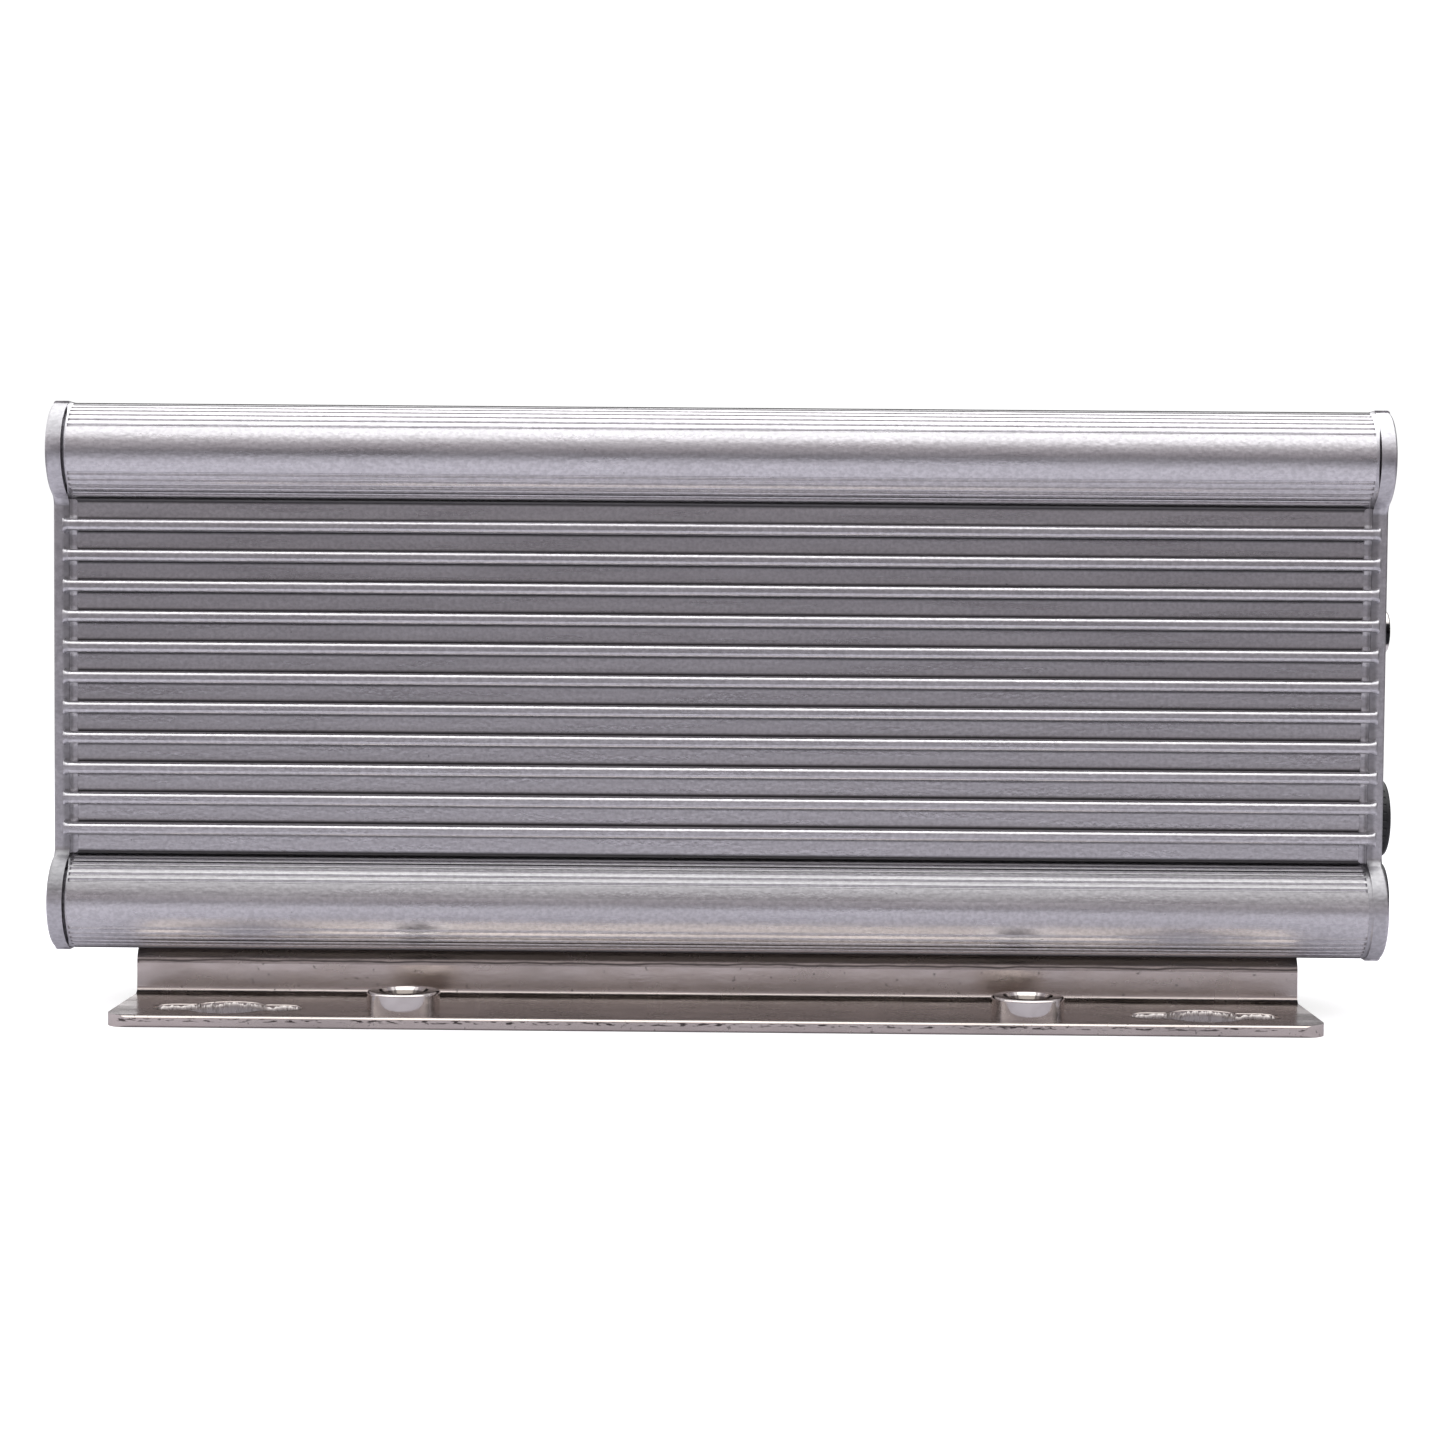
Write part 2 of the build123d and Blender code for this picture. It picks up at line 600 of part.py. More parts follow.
def transformer_bobbins():
    """A spool round each middle leg: two flanges joined by a thin sleeve."""
    bobbins = []
    sleeve, window = 0.8, CORE_SIZE[0] / 2 - CORE_LEG
    leg_y = (CORE_Y[0], CORE_Y[1])
    for x in TRANSFORMER_X:
        reach_z = (TRANSFORMER_Z - window + 0.1, TRANSFORMER_Z + window - 0.1)
        half = CENTRE_LEG / 2 + sleeve
        spool = block((x - half, x + half), (leg_y[0] - sleeve, leg_y[1] + sleeve), reach_z)
        for end in (-1, 1):
            edge = TRANSFORMER_Z + end * (window - 0.1)
            flange_z = sorted((edge, edge - end * 0.9))
            wide = (x - window + 0.1, x + window - 0.1)
            spool += block(wide, (leg_y[0] - 1.6, leg_y[1] + 1.6), flange_z)
        leg_half = CENTRE_LEG / 2 + 0.05
        spool -= block((x - leg_half, x + leg_half), (leg_y[0] - 0.05, leg_y[1] + 0.05), (0, 200))
        bobbins.append(spool)
    return group(bobbins)


def transformer_windings():
    """The copper wound on each spool, wrapped in tape."""
    windings = []
    window = CORE_SIZE[0] / 2 - CORE_LEG
    half = CENTRE_LEG / 2 + 0.8
    for x in TRANSFORMER_X:
        z = (TRANSFORMER_Z - window + 1.2, TRANSFORMER_Z + window - 1.2)
        outer = block((x - window + 0.5, x + window - 0.5), (CORE_Y[0] - 1.5, CORE_Y[1] + 1.5), z)
        outer = fillet(outer.edges().filter_by(Axis.Z), 2.0)
        inner = block((x - half, x + half), (CORE_Y[0] - 0.8, CORE_Y[1] + 0.8), z)
        windings.append(outer - inner)
    return group(windings)


CHOKE_PLACE = (45.0, BASE_Z + 62.0)
CHOKE_Y = (BOARD_FACE_Y - 12.5, BOARD_FACE_Y - 2.5)


def choke_core():
    """The output choke's ring core, lying flat over the board."""
    x, z = CHOKE_PLACE
    ring = rod_y(9.0, x, CHOKE_Y, z) - rod_y(5.0, x, (-30, 30), z)
    return fillet(ring.edges(), 0.5)


def choke_winding():
    """Two groups of turns of thick wire, each turn a rectangular loop round the core."""
    x, z = CHOKE_PLACE
    wire, turns_each = 0.55, 7
    turns = []
    loop = turn_of_wire(wire)
    for half in (0, 180):
        for i in range(turns_each):
            angle = half + (i - (turns_each - 1) / 2) * 19.0
            turns.append(Pos(x, 0, z) * Rot(0, angle, 0) * loop)
    return group(turns)


def turn_of_wire(wire):
    """One turn in the XY plane, round the core's section on the +X side of the ring."""
    gap = wire + 0.1
    centre = (7.0, sum(CHOKE_Y) / 2)
    size = (4.0 + 2 * gap, CHOKE_Y[1] - CHOKE_Y[0] + 2 * gap)
    loop = Pos(*centre) * RectangleRounded(*size, 0.9)
    path = loop.wires()[0]
    section = Plane(origin=path @ 0, z_dir=path % 0) * Circle(wire)
    return sweep(section, path=path)


def output_relay():
    return softened(standing_block(69.5, BASE_Z + 60.0, 15.0, 20.0, 15.5), 0.5)


def film_capacitors():
    """Two boxed film capacitors across the mains output."""
    boxes = [standing_block(73.0, BASE_Z + z, 9.0, 13.0, 14.0) for z in (30.0, 43.5)]
    return group(softened(box, 0.5) for box in boxes)


def varistor():
    """A disc surge arrester standing on its edge."""
    radius = 5.5
    disc = rod_x(radius, (57.0, 60.5), BOARD_FACE_Y - radius - 2.0, BASE_Z + 62.0)
    return fillet(disc.edges(), 1.2)


FUSE_X = (52.0, 72.0)
FUSE_PLACE = (BOARD_FACE_Y - 5.0, BASE_Z + 75.0)


def fuse():
    """A glass cartridge with a cap at each end."""
    return rod_x(2.5, FUSE_X, *FUSE_PLACE)


def fuse_clips():
    """Spring clips that hold the fuse by its ends."""
    y, z = FUSE_PLACE
    clips = []
    for x in ((FUSE_X[0] + 0.5, FUSE_X[0] + 4.5), (FUSE_X[1] - 4.5, FUSE_X[1] - 0.5)):
        clip = rod_x(3.0, x, y, z) - rod_x(2.5, x, y, z)
        clip += block(x, (y + 2.5, BOARD_FACE_Y), (z - 1.5, z + 1.5))
        clip -= rod_x(2.5, x, y, z)
        clip -= block(x, (y - 4.0, y - 1.6), (z - 4, z + 4))
        clips.append(clip)
    return group(clips)


# ---------------------------------------------------------------- heat path
SPREADER_TOP = CAVITY_BOTTOM + SPREADER_HEIGHT
PAD_TOP = SPREADER_TOP + PAD_THICKNESS
CLAMP_BOTTOM = PAD_TOP + TRANSISTOR_SIZE[2]
CLAMP_THICKNESS = 1.2
CLAMP_MARGIN = 7.0
CLAMP_SCREW_Y = -2.0


def clamp_screw_places(transistor_x):
    """Clamp screws stand between the first two and the last two transistors."""
    return [sum(transistor_x[:2]) / 2, sum(transistor_x[-2:]) / 2]


CLAMP_SCREW_X = clamp_screw_places(DC_TRANSISTOR_X) + clamp_screw_places(AC_TRANSISTOR_X)


def heat_spreader():
    """Aluminium bar on the floor of the case that takes the transistors' heat."""
    bar = block(SPREADER_X, SPREADER_Y, (CAVITY_BOTTOM, SPREADER_TOP))
    for x in BRACKET_SCREW_X:
        bar -= rod_z(BRACKET_SCREW_RADIUS + 0.05, x, 0, (0, SPREADER_TOP - 1.0))
    for x in CLAMP_SCREW_X:
        bar -= rod_z(1.55, x, CLAMP_SCREW_Y, (SPREADER_TOP - 4.5, SPREADER_TOP + 1))
    return bar


def thermal_pads():
    pads = []
    for row in (DC_TRANSISTOR_X, AC_TRANSISTOR_X):
        x = (row[0] - 6.0, row[-1] + 6.0)
        pads.append(block(x, (SPREADER_Y[0], SPREADER_Y[1] - 0.5), (SPREADER_TOP, PAD_TOP)))
    strip = group(pads)
    for x in CLAMP_SCREW_X:
        strip -= rod_z(1.8, x, CLAMP_SCREW_Y, (0, 100))
    return strip


def transistors(places):
    """A row of power transistors lying on the spreader, their legs bent into the board."""
    wide, deep, thick = TRANSISTOR_SIZE
    y_tab = SPREADER_Y[0] + 0.2
    row = []
    for x in places:
        body = block((x - wide / 2, x + wide / 2), (y_tab + 5.2, y_tab + deep), (PAD_TOP, CLAMP_BOTTOM))
        tab = block((x - wide / 2, x + wide / 2), (y_tab, y_tab + 5.2), (PAD_TOP, PAD_TOP + 1.3))
        tab -= rod_z(1.8, x, y_tab + 2.7, (0, 100))
        package = body + tab
        for offset in (-2.54, 0, 2.54):
            leg_x = (x + offset - 0.4, x + offset + 0.4)
            package += block(leg_x, (y_tab + deep, BOARD_FACE_Y), (PAD_TOP + 2.2, PAD_TOP + 2.7))
        row.append(package)
    return group(row)


def transistor_clamps():
    """Two steel strips that press the transistors down."""
    y = (SPREADER_Y[0] + 5.6, SPREADER_Y[1] - 1.5)
    clamps = []
    for row in (DC_TRANSISTOR_X, AC_TRANSISTOR_X):
        x = (row[0] - CLAMP_MARGIN, row[-1] + CLAMP_MARGIN)
        clamps.append(block(x, y, (CLAMP_BOTTOM, CLAMP_BOTTOM + CLAMP_THICKNESS)))
    strips = group(clamps)
    for x in CLAMP_SCREW_X:
        strips -= rod_z(1.65, x, CLAMP_SCREW_Y, (0, 100))
    return strips


def clamp_screws():
    """Pan-head screws that pull the clamps to the spreader."""
    top = CLAMP_BOTTOM + CLAMP_THICKNESS
    screws = []
    for x in CLAMP_SCREW_X:
        head = rod_z(2.8, x, CLAMP_SCREW_Y, (top, top + 1.9))
        head = fillet(head.edges().group_by(Axis.Z)[-1], 0.8)
        screws.append(head + rod_z(1.5, x, CLAMP_SCREW_Y, (SPREADER_TOP - 4.0, top)))
    return group(screws)


def insulation_sheet():
    """Thin sheet that keeps the board's solder side off the back wall."""
    y = (CAVITY_HALF - 0.5, CAVITY_HALF)
    return block(BOARD_X, y, (CAVITY_BOTTOM + 3.0, CAVITY_TOP - 3.0))


# ---------------------------------------------------------------- leads inside the case
def dc_lead(z_socket, z_pad):
    """A panel lead from a PV contact, round the end capacitor, to its pad on the board."""
    x0 = PV_CONTACT_X[1]
    pad_x = BOARD_X[0] + 2.5
    rise = z_pad - z_socket
    return lead(
        [
            (x0, 0, z_socket),
            (x0 + 2.4, 0, z_socket),
            (x0 + 3.6, -0.8, z_socket + 0.4 * rise),
            (pad_x - 1.4, -1.2, z_socket + 0.8 * rise),
            (pad_x, BOARD_FACE_Y - 3.4, z_pad),
            (pad_x, BOARD_FACE_Y, z_pad),
        ],
        1.3,
    )


def ac_leads():
    """Three leads from each mains socket's pins to the board."""
    x0 = AC_REAR_X - 2.0
    rise = 0.6
    wires = []
    for socket_z in AC_Z.values():
        for row, (y, z) in enumerate(ac_pin_places(socket_z)):
            pad_x = BOARD_X[1] - 1.4 - 1.6 * row
            wires.append(
                lead(
                    [
                        (x0, y, z),
                        (x0 - 1.6, y, z),
                        (pad_x + 0.4, (y + BOARD_FACE_Y) / 2, z + rise),
                        (pad_x, BOARD_FACE_Y - 1.2, z + rise / 2),
                        (pad_x, BOARD_FACE_Y, z + rise / 2),
                    ],
                    0.5,
                )
            )
    return group(wires)


def led_leads():
    """The lamp's two leads."""
    x0 = PLATE_INNER_X - 4.0
    wires = []
    for side in (-1, 1):
        z = LED_Z + side * 1.27
        wires.append(
            lead(
                [
                    (x0, 0, z),
                    (x0 - 4.0, 0, z),
                    (x0 - 9.0, 0.8, z + side * 0.4),
                    (BOARD_X[1] - 1.6, BOARD_FACE_Y - 2.4, z + side * 0.3),
                    (BOARD_X[1] - 1.6, BOARD_FACE_Y, z + side * 0.3),
                ],
                0.45,
            )
        )
    return group(wires)


# ---------------------------------------------------------------- files
PARTS = {
    "housing": housing,
    "end_plate_dc": end_plate_dc,
    "end_plate_ac": end_plate_ac,
    "end_gasket_dc": lambda: end_gasket(-1),
    "end_gasket_ac": lambda: end_gasket(1),
    "end_screws_dc": lambda: plate_screws(-1),
    "end_screws_ac": lambda: plate_screws(1),
    "mounting_bracket": mounting_bracket,
    "clinch_nuts": clinch_nuts,
    "bracket_screws": bracket_screws,
    "bracket_washers": bracket_washers,
    "led_bezel": led_bezel,
    "led_lens": led_lens,
    "led_nut": led_nut,
    "ac_socket_upper": lambda: ac_socket(AC_Z["upper"]),
    "ac_socket_lower": lambda: ac_socket(AC_Z["lower"]),
    "ac_socket_inserts": ac_socket_inserts,
    "ac_socket_pins": ac_socket_pins,
    "ac_socket_nuts": ac_socket_nuts,
    "ac_socket_seals": ac_socket_seals,
    "ac_cap_upper": lambda: ac_cap(AC_Z["upper"]),
    "ac_cap_lower": lambda: ac_cap(AC_Z["lower"]),
    "ac_cap_seal_upper": lambda: ac_cap_seal(AC_Z["upper"]),
    "ac_cap_seal_lower": lambda: ac_cap_seal(AC_Z["lower"]),
    "pv_socket_negative": lambda: pv_socket(PV_Z[0]),
    "pv_socket_positive": lambda: pv_socket(PV_Z[1]),
    "pv_contacts": pv_contacts,
    "pv_socket_nuts": pv_socket_nuts,
    "pv_socket_seals": pv_socket_seals,
    "main_board": main_board,
    "control_board": control_board,
    "control_chips": control_chips,
    "input_capacitors": input_capacitors,
    "bus_capacitors": bus_capacitors,
    "transformer_cores": transformer_cores,
    "transformer_bobbins": transformer_bobbins,
    "transformer_windings": transformer_windings,
    "choke_core": choke_core,
    "choke_winding": choke_winding,
    "output_relay": output_relay,
    "film_capacitors": film_capacitors,
    "varistor": varistor,
    "fuse": fuse,
    "fuse_clips": fuse_clips,
    "heat_spreader": heat_spreader,
    "thermal_pads": thermal_pads,
    "dc_transistors": lambda: transistors(DC_TRANSISTOR_X),
    "ac_transistors": lambda: transistors(AC_TRANSISTOR_X),
    "transistor_clamps": transistor_clamps,
    "clamp_screws": clamp_screws,
    "insulation_sheet": insulation_sheet,
    "dc_lead_negative": lambda: dc_lead(PV_Z[0], BASE_Z + 14.0),
    "dc_lead_positive": lambda: dc_lead(PV_Z[1], BASE_Z + 74.0),
    "ac_leads": ac_leads,
    "led_leads": led_leads,
}

os.makedirs("parts", exist_ok=True)
for name, make in PARTS.items():
    export_step(make(), f"parts/{name}.step")
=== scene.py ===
"""Looks of a micro inverter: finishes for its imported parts, small worked details, light and camera.

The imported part's own frame is in metres: +X to the AC end, +Y to the back, +Z up. Places and
sizes are named in millimetres here and follow the part's own dimensions.
"""
import math
import random

import bpy
from mathutils import Matrix, Vector


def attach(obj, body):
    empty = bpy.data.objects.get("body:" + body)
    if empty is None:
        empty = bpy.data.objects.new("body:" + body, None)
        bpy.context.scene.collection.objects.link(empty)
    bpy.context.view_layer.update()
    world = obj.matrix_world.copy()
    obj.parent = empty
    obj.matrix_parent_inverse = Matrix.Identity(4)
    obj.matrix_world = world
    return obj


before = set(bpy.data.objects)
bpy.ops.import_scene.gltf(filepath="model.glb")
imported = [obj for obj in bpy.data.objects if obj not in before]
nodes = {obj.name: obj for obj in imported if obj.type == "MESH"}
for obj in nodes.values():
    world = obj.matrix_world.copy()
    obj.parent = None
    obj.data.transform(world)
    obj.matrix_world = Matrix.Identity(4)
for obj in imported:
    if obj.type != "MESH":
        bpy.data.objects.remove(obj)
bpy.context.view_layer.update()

scene = bpy.context.scene
MM = 0.001
BODY = "inverter"

# ---------------------------------------------------------------- dimensions, in mm
END_X = 100.0  # outer face of an end plate
PLATE_THICKNESS = 2.4
GASKET_THICKNESS = 0.5
PLATE_INNER = END_X - PLATE_THICKNESS
HOUSING_END = PLATE_INNER - GASKET_THICKNESS

BEAD_RADIUS = 7.15
BEAD_Y = 13.85
BEAD_LOW, BEAD_HIGH = 16.35, 84.05
FLOOR_Y = 15.0  # the floor between the fins
ROOT_ANGLE = math.acos((FLOOR_Y - BEAD_Y) / BEAD_RADIUS)

FIN_COUNT = 11
FIN_PITCH = 4.55
FIN_HALF = 0.85
FIN_REACH = 3.6
FIN_CORNER = 0.6
FIN_MIDDLE = 50.2
FIN_Z = [FIN_MIDDLE + FIN_PITCH * (i - FIN_COUNT // 2) for i in range(FIN_COUNT)]

SHEET_TOP = 1.8
FLANGE_EDGE = 33.5  # where the rounding of the flange's long edge starts
BRACKET_BEND = 6.8
FLANGE_HOLE_Y = 25.5
KEYHOLE_X = 72.0
KEYHOLE_RADIUS, SLOT_HALF, SLOT_RADIUS = 6.0, 8.0, 3.0
NUT_X = 46.0
NUT_BORE = 2.5
NUT_TOP = 4.6
NUT_MOUTH = 3.25

LED_Z = 58.3
PV_FACE = -END_X - 1.55
PV_MINUS_Z, PV_PLUS_Z = 36.2, 64.2


# ---------------------------------------------------------------- finishes
class Finish:
    """A material being put together around one Principled shader."""

    def __init__(self, name, colour, metallic=0.0, roughness=0.5, **constants):
        self.material = bpy.data.materials.new(name)
        self.material.use_nodes = True
        self.tree = self.material.node_tree
        self.shader = self.tree.nodes["Principled BSDF"]
        self.colour = (*colour, 1.0)
        self.shader.inputs["Base Color"].default_value = self.colour
        self.shader.inputs["Metallic"].default_value = metallic
        self.shader.inputs["Roughness"].default_value = roughness
        for socket, value in constants.items():
            self.shader.inputs[socket.replace("_", " ")].default_value = value
        self.place = self.add("ShaderNodeTexCoord").outputs["Object"]
        self.normal = None

    def add(self, kind, **inputs):
        node = self.tree.nodes.new(kind)
        for socket, value in inputs.items():
            self.feed(node.inputs[socket.replace("_", " ")], value)
        return node

    def feed(self, socket, value):
        if isinstance(value, bpy.types.NodeSocket):
            self.tree.links.new(value, socket)
        else:
            socket.default_value = value

    def noise(self, size_mm, detail=3.0, stretch=(1.0, 1.0, 1.0), shift=0.0):
        """Smooth noise from 0 to 1 with features of about this size; stretch lengthens them."""
        mapping = self.add("ShaderNodeMapping", Vector=self.place)
        mapping.inputs["Scale"].default_value = [1.0 / s for s in stretch]
        mapping.inputs["Location"].default_value = (shift, shift, shift)
        texture = self.add("ShaderNodeTexNoise", Vector=mapping.outputs["Vector"])
        texture.inputs["Scale"].default_value = 1.0 / (size_mm * MM)
        texture.inputs["Detail"].default_value = detail
        return texture.outputs["Fac"]

    def span(self, value, low, high, to_low=0.0, to_high=1.0):
        """The value from low to high, taken to to_low to to_high and held there outside."""
        node = self.add("ShaderNodeMapRange", Value=value)
        limits = {"From Min": low, "From Max": high, "To Min": to_low, "To Max": to_high}
        for socket, limit in limits.items():
            node.inputs[socket].default_value = limit
        return node.outputs["Result"]

    def reach(self, distance, low_mm, high_mm, to_low=0.0, to_high=1.0):
        """The same for a distance on the object, with its limits in millimetres."""
        return self.span(distance, low_mm * MM, high_mm * MM, to_low, to_high)

    def maths(self, operation, a, b=0.0):
        node = self.tree.nodes.new("ShaderNodeMath")
        node.operation = operation
        self.feed(node.inputs[0], a)
        self.feed(node.inputs[1], b)
        return node.outputs[0]

    def both(self, *masks):
        """Where all of the masks are 1."""
        made = masks[0]
        for mask in masks[1:]:
            made = self.maths("MULTIPLY", made, mask)
        return made

    def axis(self, name):
        return self.add("ShaderNodeSeparateXYZ", Vector=self.place).outputs[name]

    def off_centre(self, name, centre_mm=0.0):
        """Distance along an axis from a place on each side of the middle."""
        distance = self.maths("ABSOLUTE", self.axis(name))
        if centre_mm:
            distance = self.maths("SUBTRACT", distance, centre_mm * MM)
        return distance

    def facing(self, name):
        """How far the surface faces along an axis, from -1 to 1."""
        normal = self.add("ShaderNodeNewGeometry").outputs["True Normal"]
        return self.add("ShaderNodeSeparateXYZ", Vector=normal).outputs[name]

    def paint(self, mask, colour):
        """Lays another colour over the base colour where the mask is 1."""
        node = self.tree.nodes.new("ShaderNodeMix")
        node.data_type = "RGBA"
        self.feed(node.inputs["Factor"], mask)
        self.feed(node.inputs["A"], self.colour)
        self.feed(node.inputs["B"], (*colour, 1.0))
        self.colour = node.outputs["Result"]
        self.feed(self.shader.inputs["Base Color"], self.colour)
        return self

    def polish(self, value, low, high):
        """Roughness that follows a noise, from low to high."""
        self.feed(self.shader.inputs["Roughness"], self.span(value, 0.3, 0.7, low, high))
        return self

    def bump(self, height, depth_mm):
        node = self.add("ShaderNodeBump", Height=height)
        node.inputs["Strength"].default_value = 1.0
        node.inputs["Distance"].default_value = depth_mm * MM
        if self.normal is not None:
            self.feed(node.inputs["Normal"], self.normal)
        self.normal = node.outputs["Normal"]
        self.feed(self.shader.inputs["Normal"], self.normal)
        return self


def times(factor, colour):
    return [factor * c for c in colour]


GRAIN_DEPTH = 0.03  # of the blasted surface, in mm


def shade_fin_roots(f, colour):
    """Painted shade in the corners along both sides of every fin."""
    above_middle = f.maths("SUBTRACT", f.axis("Z"), FIN_MIDDLE * MM)
    off_fin = f.maths("PINGPONG", above_middle, 0.5 * FIN_PITCH * MM)
    beside = f.reach(off_fin, FIN_HALF + 0.15, FIN_HALF + 0.5, 0.96, 0.0)
    deep = f.reach(f.off_centre("Y"), FLOOR_Y + 0.2, FLOOR_Y + 1.6, 1.0, 0.0)
    f.paint(f.both(beside, deep), times(0.1, colour))


def shade_lower_beads(f, colour):
    """The top of the lower beads, which lies in the shade of the upper ones."""
    low = f.reach(f.axis("Z"), BEAD_LOW + 0.45, BEAD_LOW + 2.25)
    high = f.reach(f.axis("Z"), BEAD_LOW + 7.85, BEAD_LOW + 8.05, 1.0, 0.0)
    upward = f.span(f.facing("Z"), 0.05, 0.3, 0.0, 0.45)
    f.paint(f.both(low, high, upward), times(0.05, colour))


def shade_joints(f, colour):
    """Painted shade on the run-in finish at the ends of the finned recess, and on the upward faces of
    the DC plate's upper rim.
    """
    inner = f.reach(f.off_centre("X"), HOUSING_END - 0.1, HOUSING_END + 0.2)
    outer = f.reach(f.off_centre("X"), PLATE_INNER + 0.7, PLATE_INNER + 1.2, 1.0, 0.0)
    recess = f.reach(f.off_centre("Y"), FLOOR_Y + 1.2, FLOOR_Y + 1.4, 0.42, 0.0)
    f.paint(f.both(inner, outer, recess), times(0.2, colour))
    dc_plate = f.reach(f.axis("X"), -PLATE_INNER - 0.05, -PLATE_INNER, 1.0, 0.0)
    upward = f.span(f.facing("Z"), 0.15, 0.5, 0.0, 0.42)
    f.paint(f.both(dc_plate, upward), times(0.2, colour))


def blasted_aluminium(name, colour, stretch, sheen, fin_roots=False):
    """Sand-blasted, anodised aluminium: fine grain and rare dark pits, with painted shade in its
    corners and on some upward faces.
    """
    f = Finish(name, colour, metallic=1.0, roughness=0.3)
    clouds = f.span(f.noise(2.2, 4.0, stretch), 0.35, 0.7)
    speckle = f.span(f.noise(0.5, 2.0, (1.3, 1.0, 1.0), shift=9.1), 0.36, 0.64)
    pits = f.span(f.noise(0.8, 2.0, shift=3.1), 0.755, 0.80)
    f.paint(clouds, times(0.93, colour))
    f.paint(speckle, times(0.8, colour))
    f.paint(pits, times(0.45, colour))
    if fin_roots:
        shade_fin_roots(f, colour)
    shade_lower_beads(f, colour)
    shade_joints(f, colour)
    f.polish(f.noise(1.6, 3.0, stretch, shift=1.7), *sheen)
    f.bump(f.noise(0.62, 2.0, (1.5, 1.0, 1.0)), GRAIN_DEPTH)
    f.bump(f.noise(0.3, 1.0, shift=5.3), 0.35 * GRAIN_DEPTH)
    return f.material


def sheared_edge(f):
    """Small dark spots along the sheared face of the flange's long edge."""
    out = f.reach(f.off_centre("Y"), FLANGE_EDGE, FLANGE_EDGE + 0.3)
    low = f.reach(f.axis("Z"), 0.8, 1.0)
    high = f.reach(f.axis("Z"), 1.3, 1.45, 1.0, 0.0)
    spots = f.span(f.noise(0.55, 4.0, (2.4, 1.0, 0.5), shift=7.7), 0.53, 0.6)
    f.paint(f.both(out, low, high, spots), (0.10, 0.085, 0.08))


def painted_bend_shade(f, colour):
    """Painted shade: the darker bend at the top of a web, a dark crease line under it, and the web's
    darker foot.
    """
    waver = f.span(f.noise(2.4, 3.0, (2.5, 1.0, 1.0), shift=12.0), 0.3, 0.7, -0.14 * MM, 0.14 * MM)
    level = f.maths("ADD", f.axis("Z"), waver)
    f.paint(f.reach(level, BRACKET_BEND - 0.08, BRACKET_BEND + 0.02), times(0.95, colour))
    crease_top = f.reach(level, BRACKET_BEND + 0.12, BRACKET_BEND + 0.3, 0.8, 0.0)
    crease = f.both(f.reach(level, BRACKET_BEND - 0.12, BRACKET_BEND - 0.04), crease_top)
    f.paint(crease, times(0.12, colour))
    foot = f.both(f.reach(f.axis("Z"), 2.6, 3.2), f.reach(f.axis("Z"), 3.2, 5.6, 0.5, 0.0))
    f.paint(foot, times(0.5, colour))


def painted_flange_shade(f, colour):
    # Painted shade: darkens the upward faces of the flange.
    upward = f.span(f.facing("Z"), 0.5, 0.9)
    flange = f.reach(f.axis("Z"), SHEET_TOP + 0.2, SHEET_TOP + 0.6, 0.5, 0.0)
    f.paint(f.both(upward, flange), times(0.3, colour))


def bracket_nickel(colour):
    """Bright plate over sheet steel that was never polished: the rolling shows as long waves."""
    f = Finish("bracket_nickel", colour, metallic=1.0, roughness=0.13)
    clouds = f.span(f.noise(6.0, 5.0, (3.0, 1.0, 1.0)), 0.42, 0.75)
    stains = f.span(f.noise(0.8, 3.0, shift=2.2), 0.66, 0.72)
    f.paint(clouds, times(0.8, colour))
    f.paint(stains, times(0.45, colour))
    sheared_edge(f)
    painted_bend_shade(f, colour)
    painted_flange_shade(f, colour)
    wave_mm = 0.05
    f.polish(f.noise(3.0, 4.0, (2.0, 1.0, 1.0), shift=4.4), 0.17, 0.3)
    f.bump(f.noise(3.2, 3.0, (3.0, 1.0, 1.0), shift=1.1), wave_mm)
    f.bump(f.noise(0.5, 2.0, shift=6.0), 0.12 * wave_mm)
    return f.material


def sheared_nickel():
    """The torn wall of a punched hole, plated over."""
    f = Finish("sheared_nickel", (0.66, 0.62, 0.59), metallic=1.0, roughness=0.3)
    f.paint(f.span(f.noise(0.5, 3.0, (1.0, 1.0, 5.0)), 0.5, 0.75), (0.3, 0.27, 0.25))
    f.polish(f.noise(0.4, 2.0, (1.0, 1.0, 4.0), shift=3.0), 0.18, 0.42)
    f.bump(f.noise(0.35, 2.0, (1.0, 1.0, 6.0), shift=2.0), 0.05)
    return f.material


def plated_fittings():
    """Bright plate on the clinch nuts and the lamp's bezel.

    Painted shade darkens the nuts' bores, and a painted dark reflection runs as a band along the side
    of the bezel.
    """
    f = Finish("plated_nickel", (0.88, 0.83, 0.80), metallic=1.0, roughness=0.1)
    along = f.maths("POWER", f.off_centre("X", NUT_X), 2.0)
    across = f.maths("POWER", f.off_centre("Y", FLANGE_HOLE_Y), 2.0)
    from_nut = f.maths("SQRT", f.maths("ADD", along, across))
    bore = f.reach(from_nut, NUT_MOUTH, NUT_MOUTH + 0.15, 1.0, 0.0)
    from_lamp = f.maths("SUBTRACT", f.axis("Z"), (LED_Z - 0.3) * MM)
    level = f.reach(f.maths("ABSOLUTE", from_lamp), 1.5, 1.9, 1.0, 0.0)
    band = f.both(level, f.span(f.facing("X"), 0.75, 0.85, 1.0, 0.0))
    f.paint(f.span(f.noise(2.0, 4.0), 0.42, 0.75), (0.74, 0.69, 0.66))
    # painted shade inside the nuts' bores
    f.paint(bore, (0.2, 0.175, 0.16))
    # painted dark reflection along the side of the bezel
    f.paint(band, (0.02, 0.02, 0.022))
    f.polish(f.noise(3.0, 4.0, shift=4.4), 0.06, 0.15)
    f.bump(f.noise(2.2, 2.0, shift=1.1), 0.006)
    return f.material


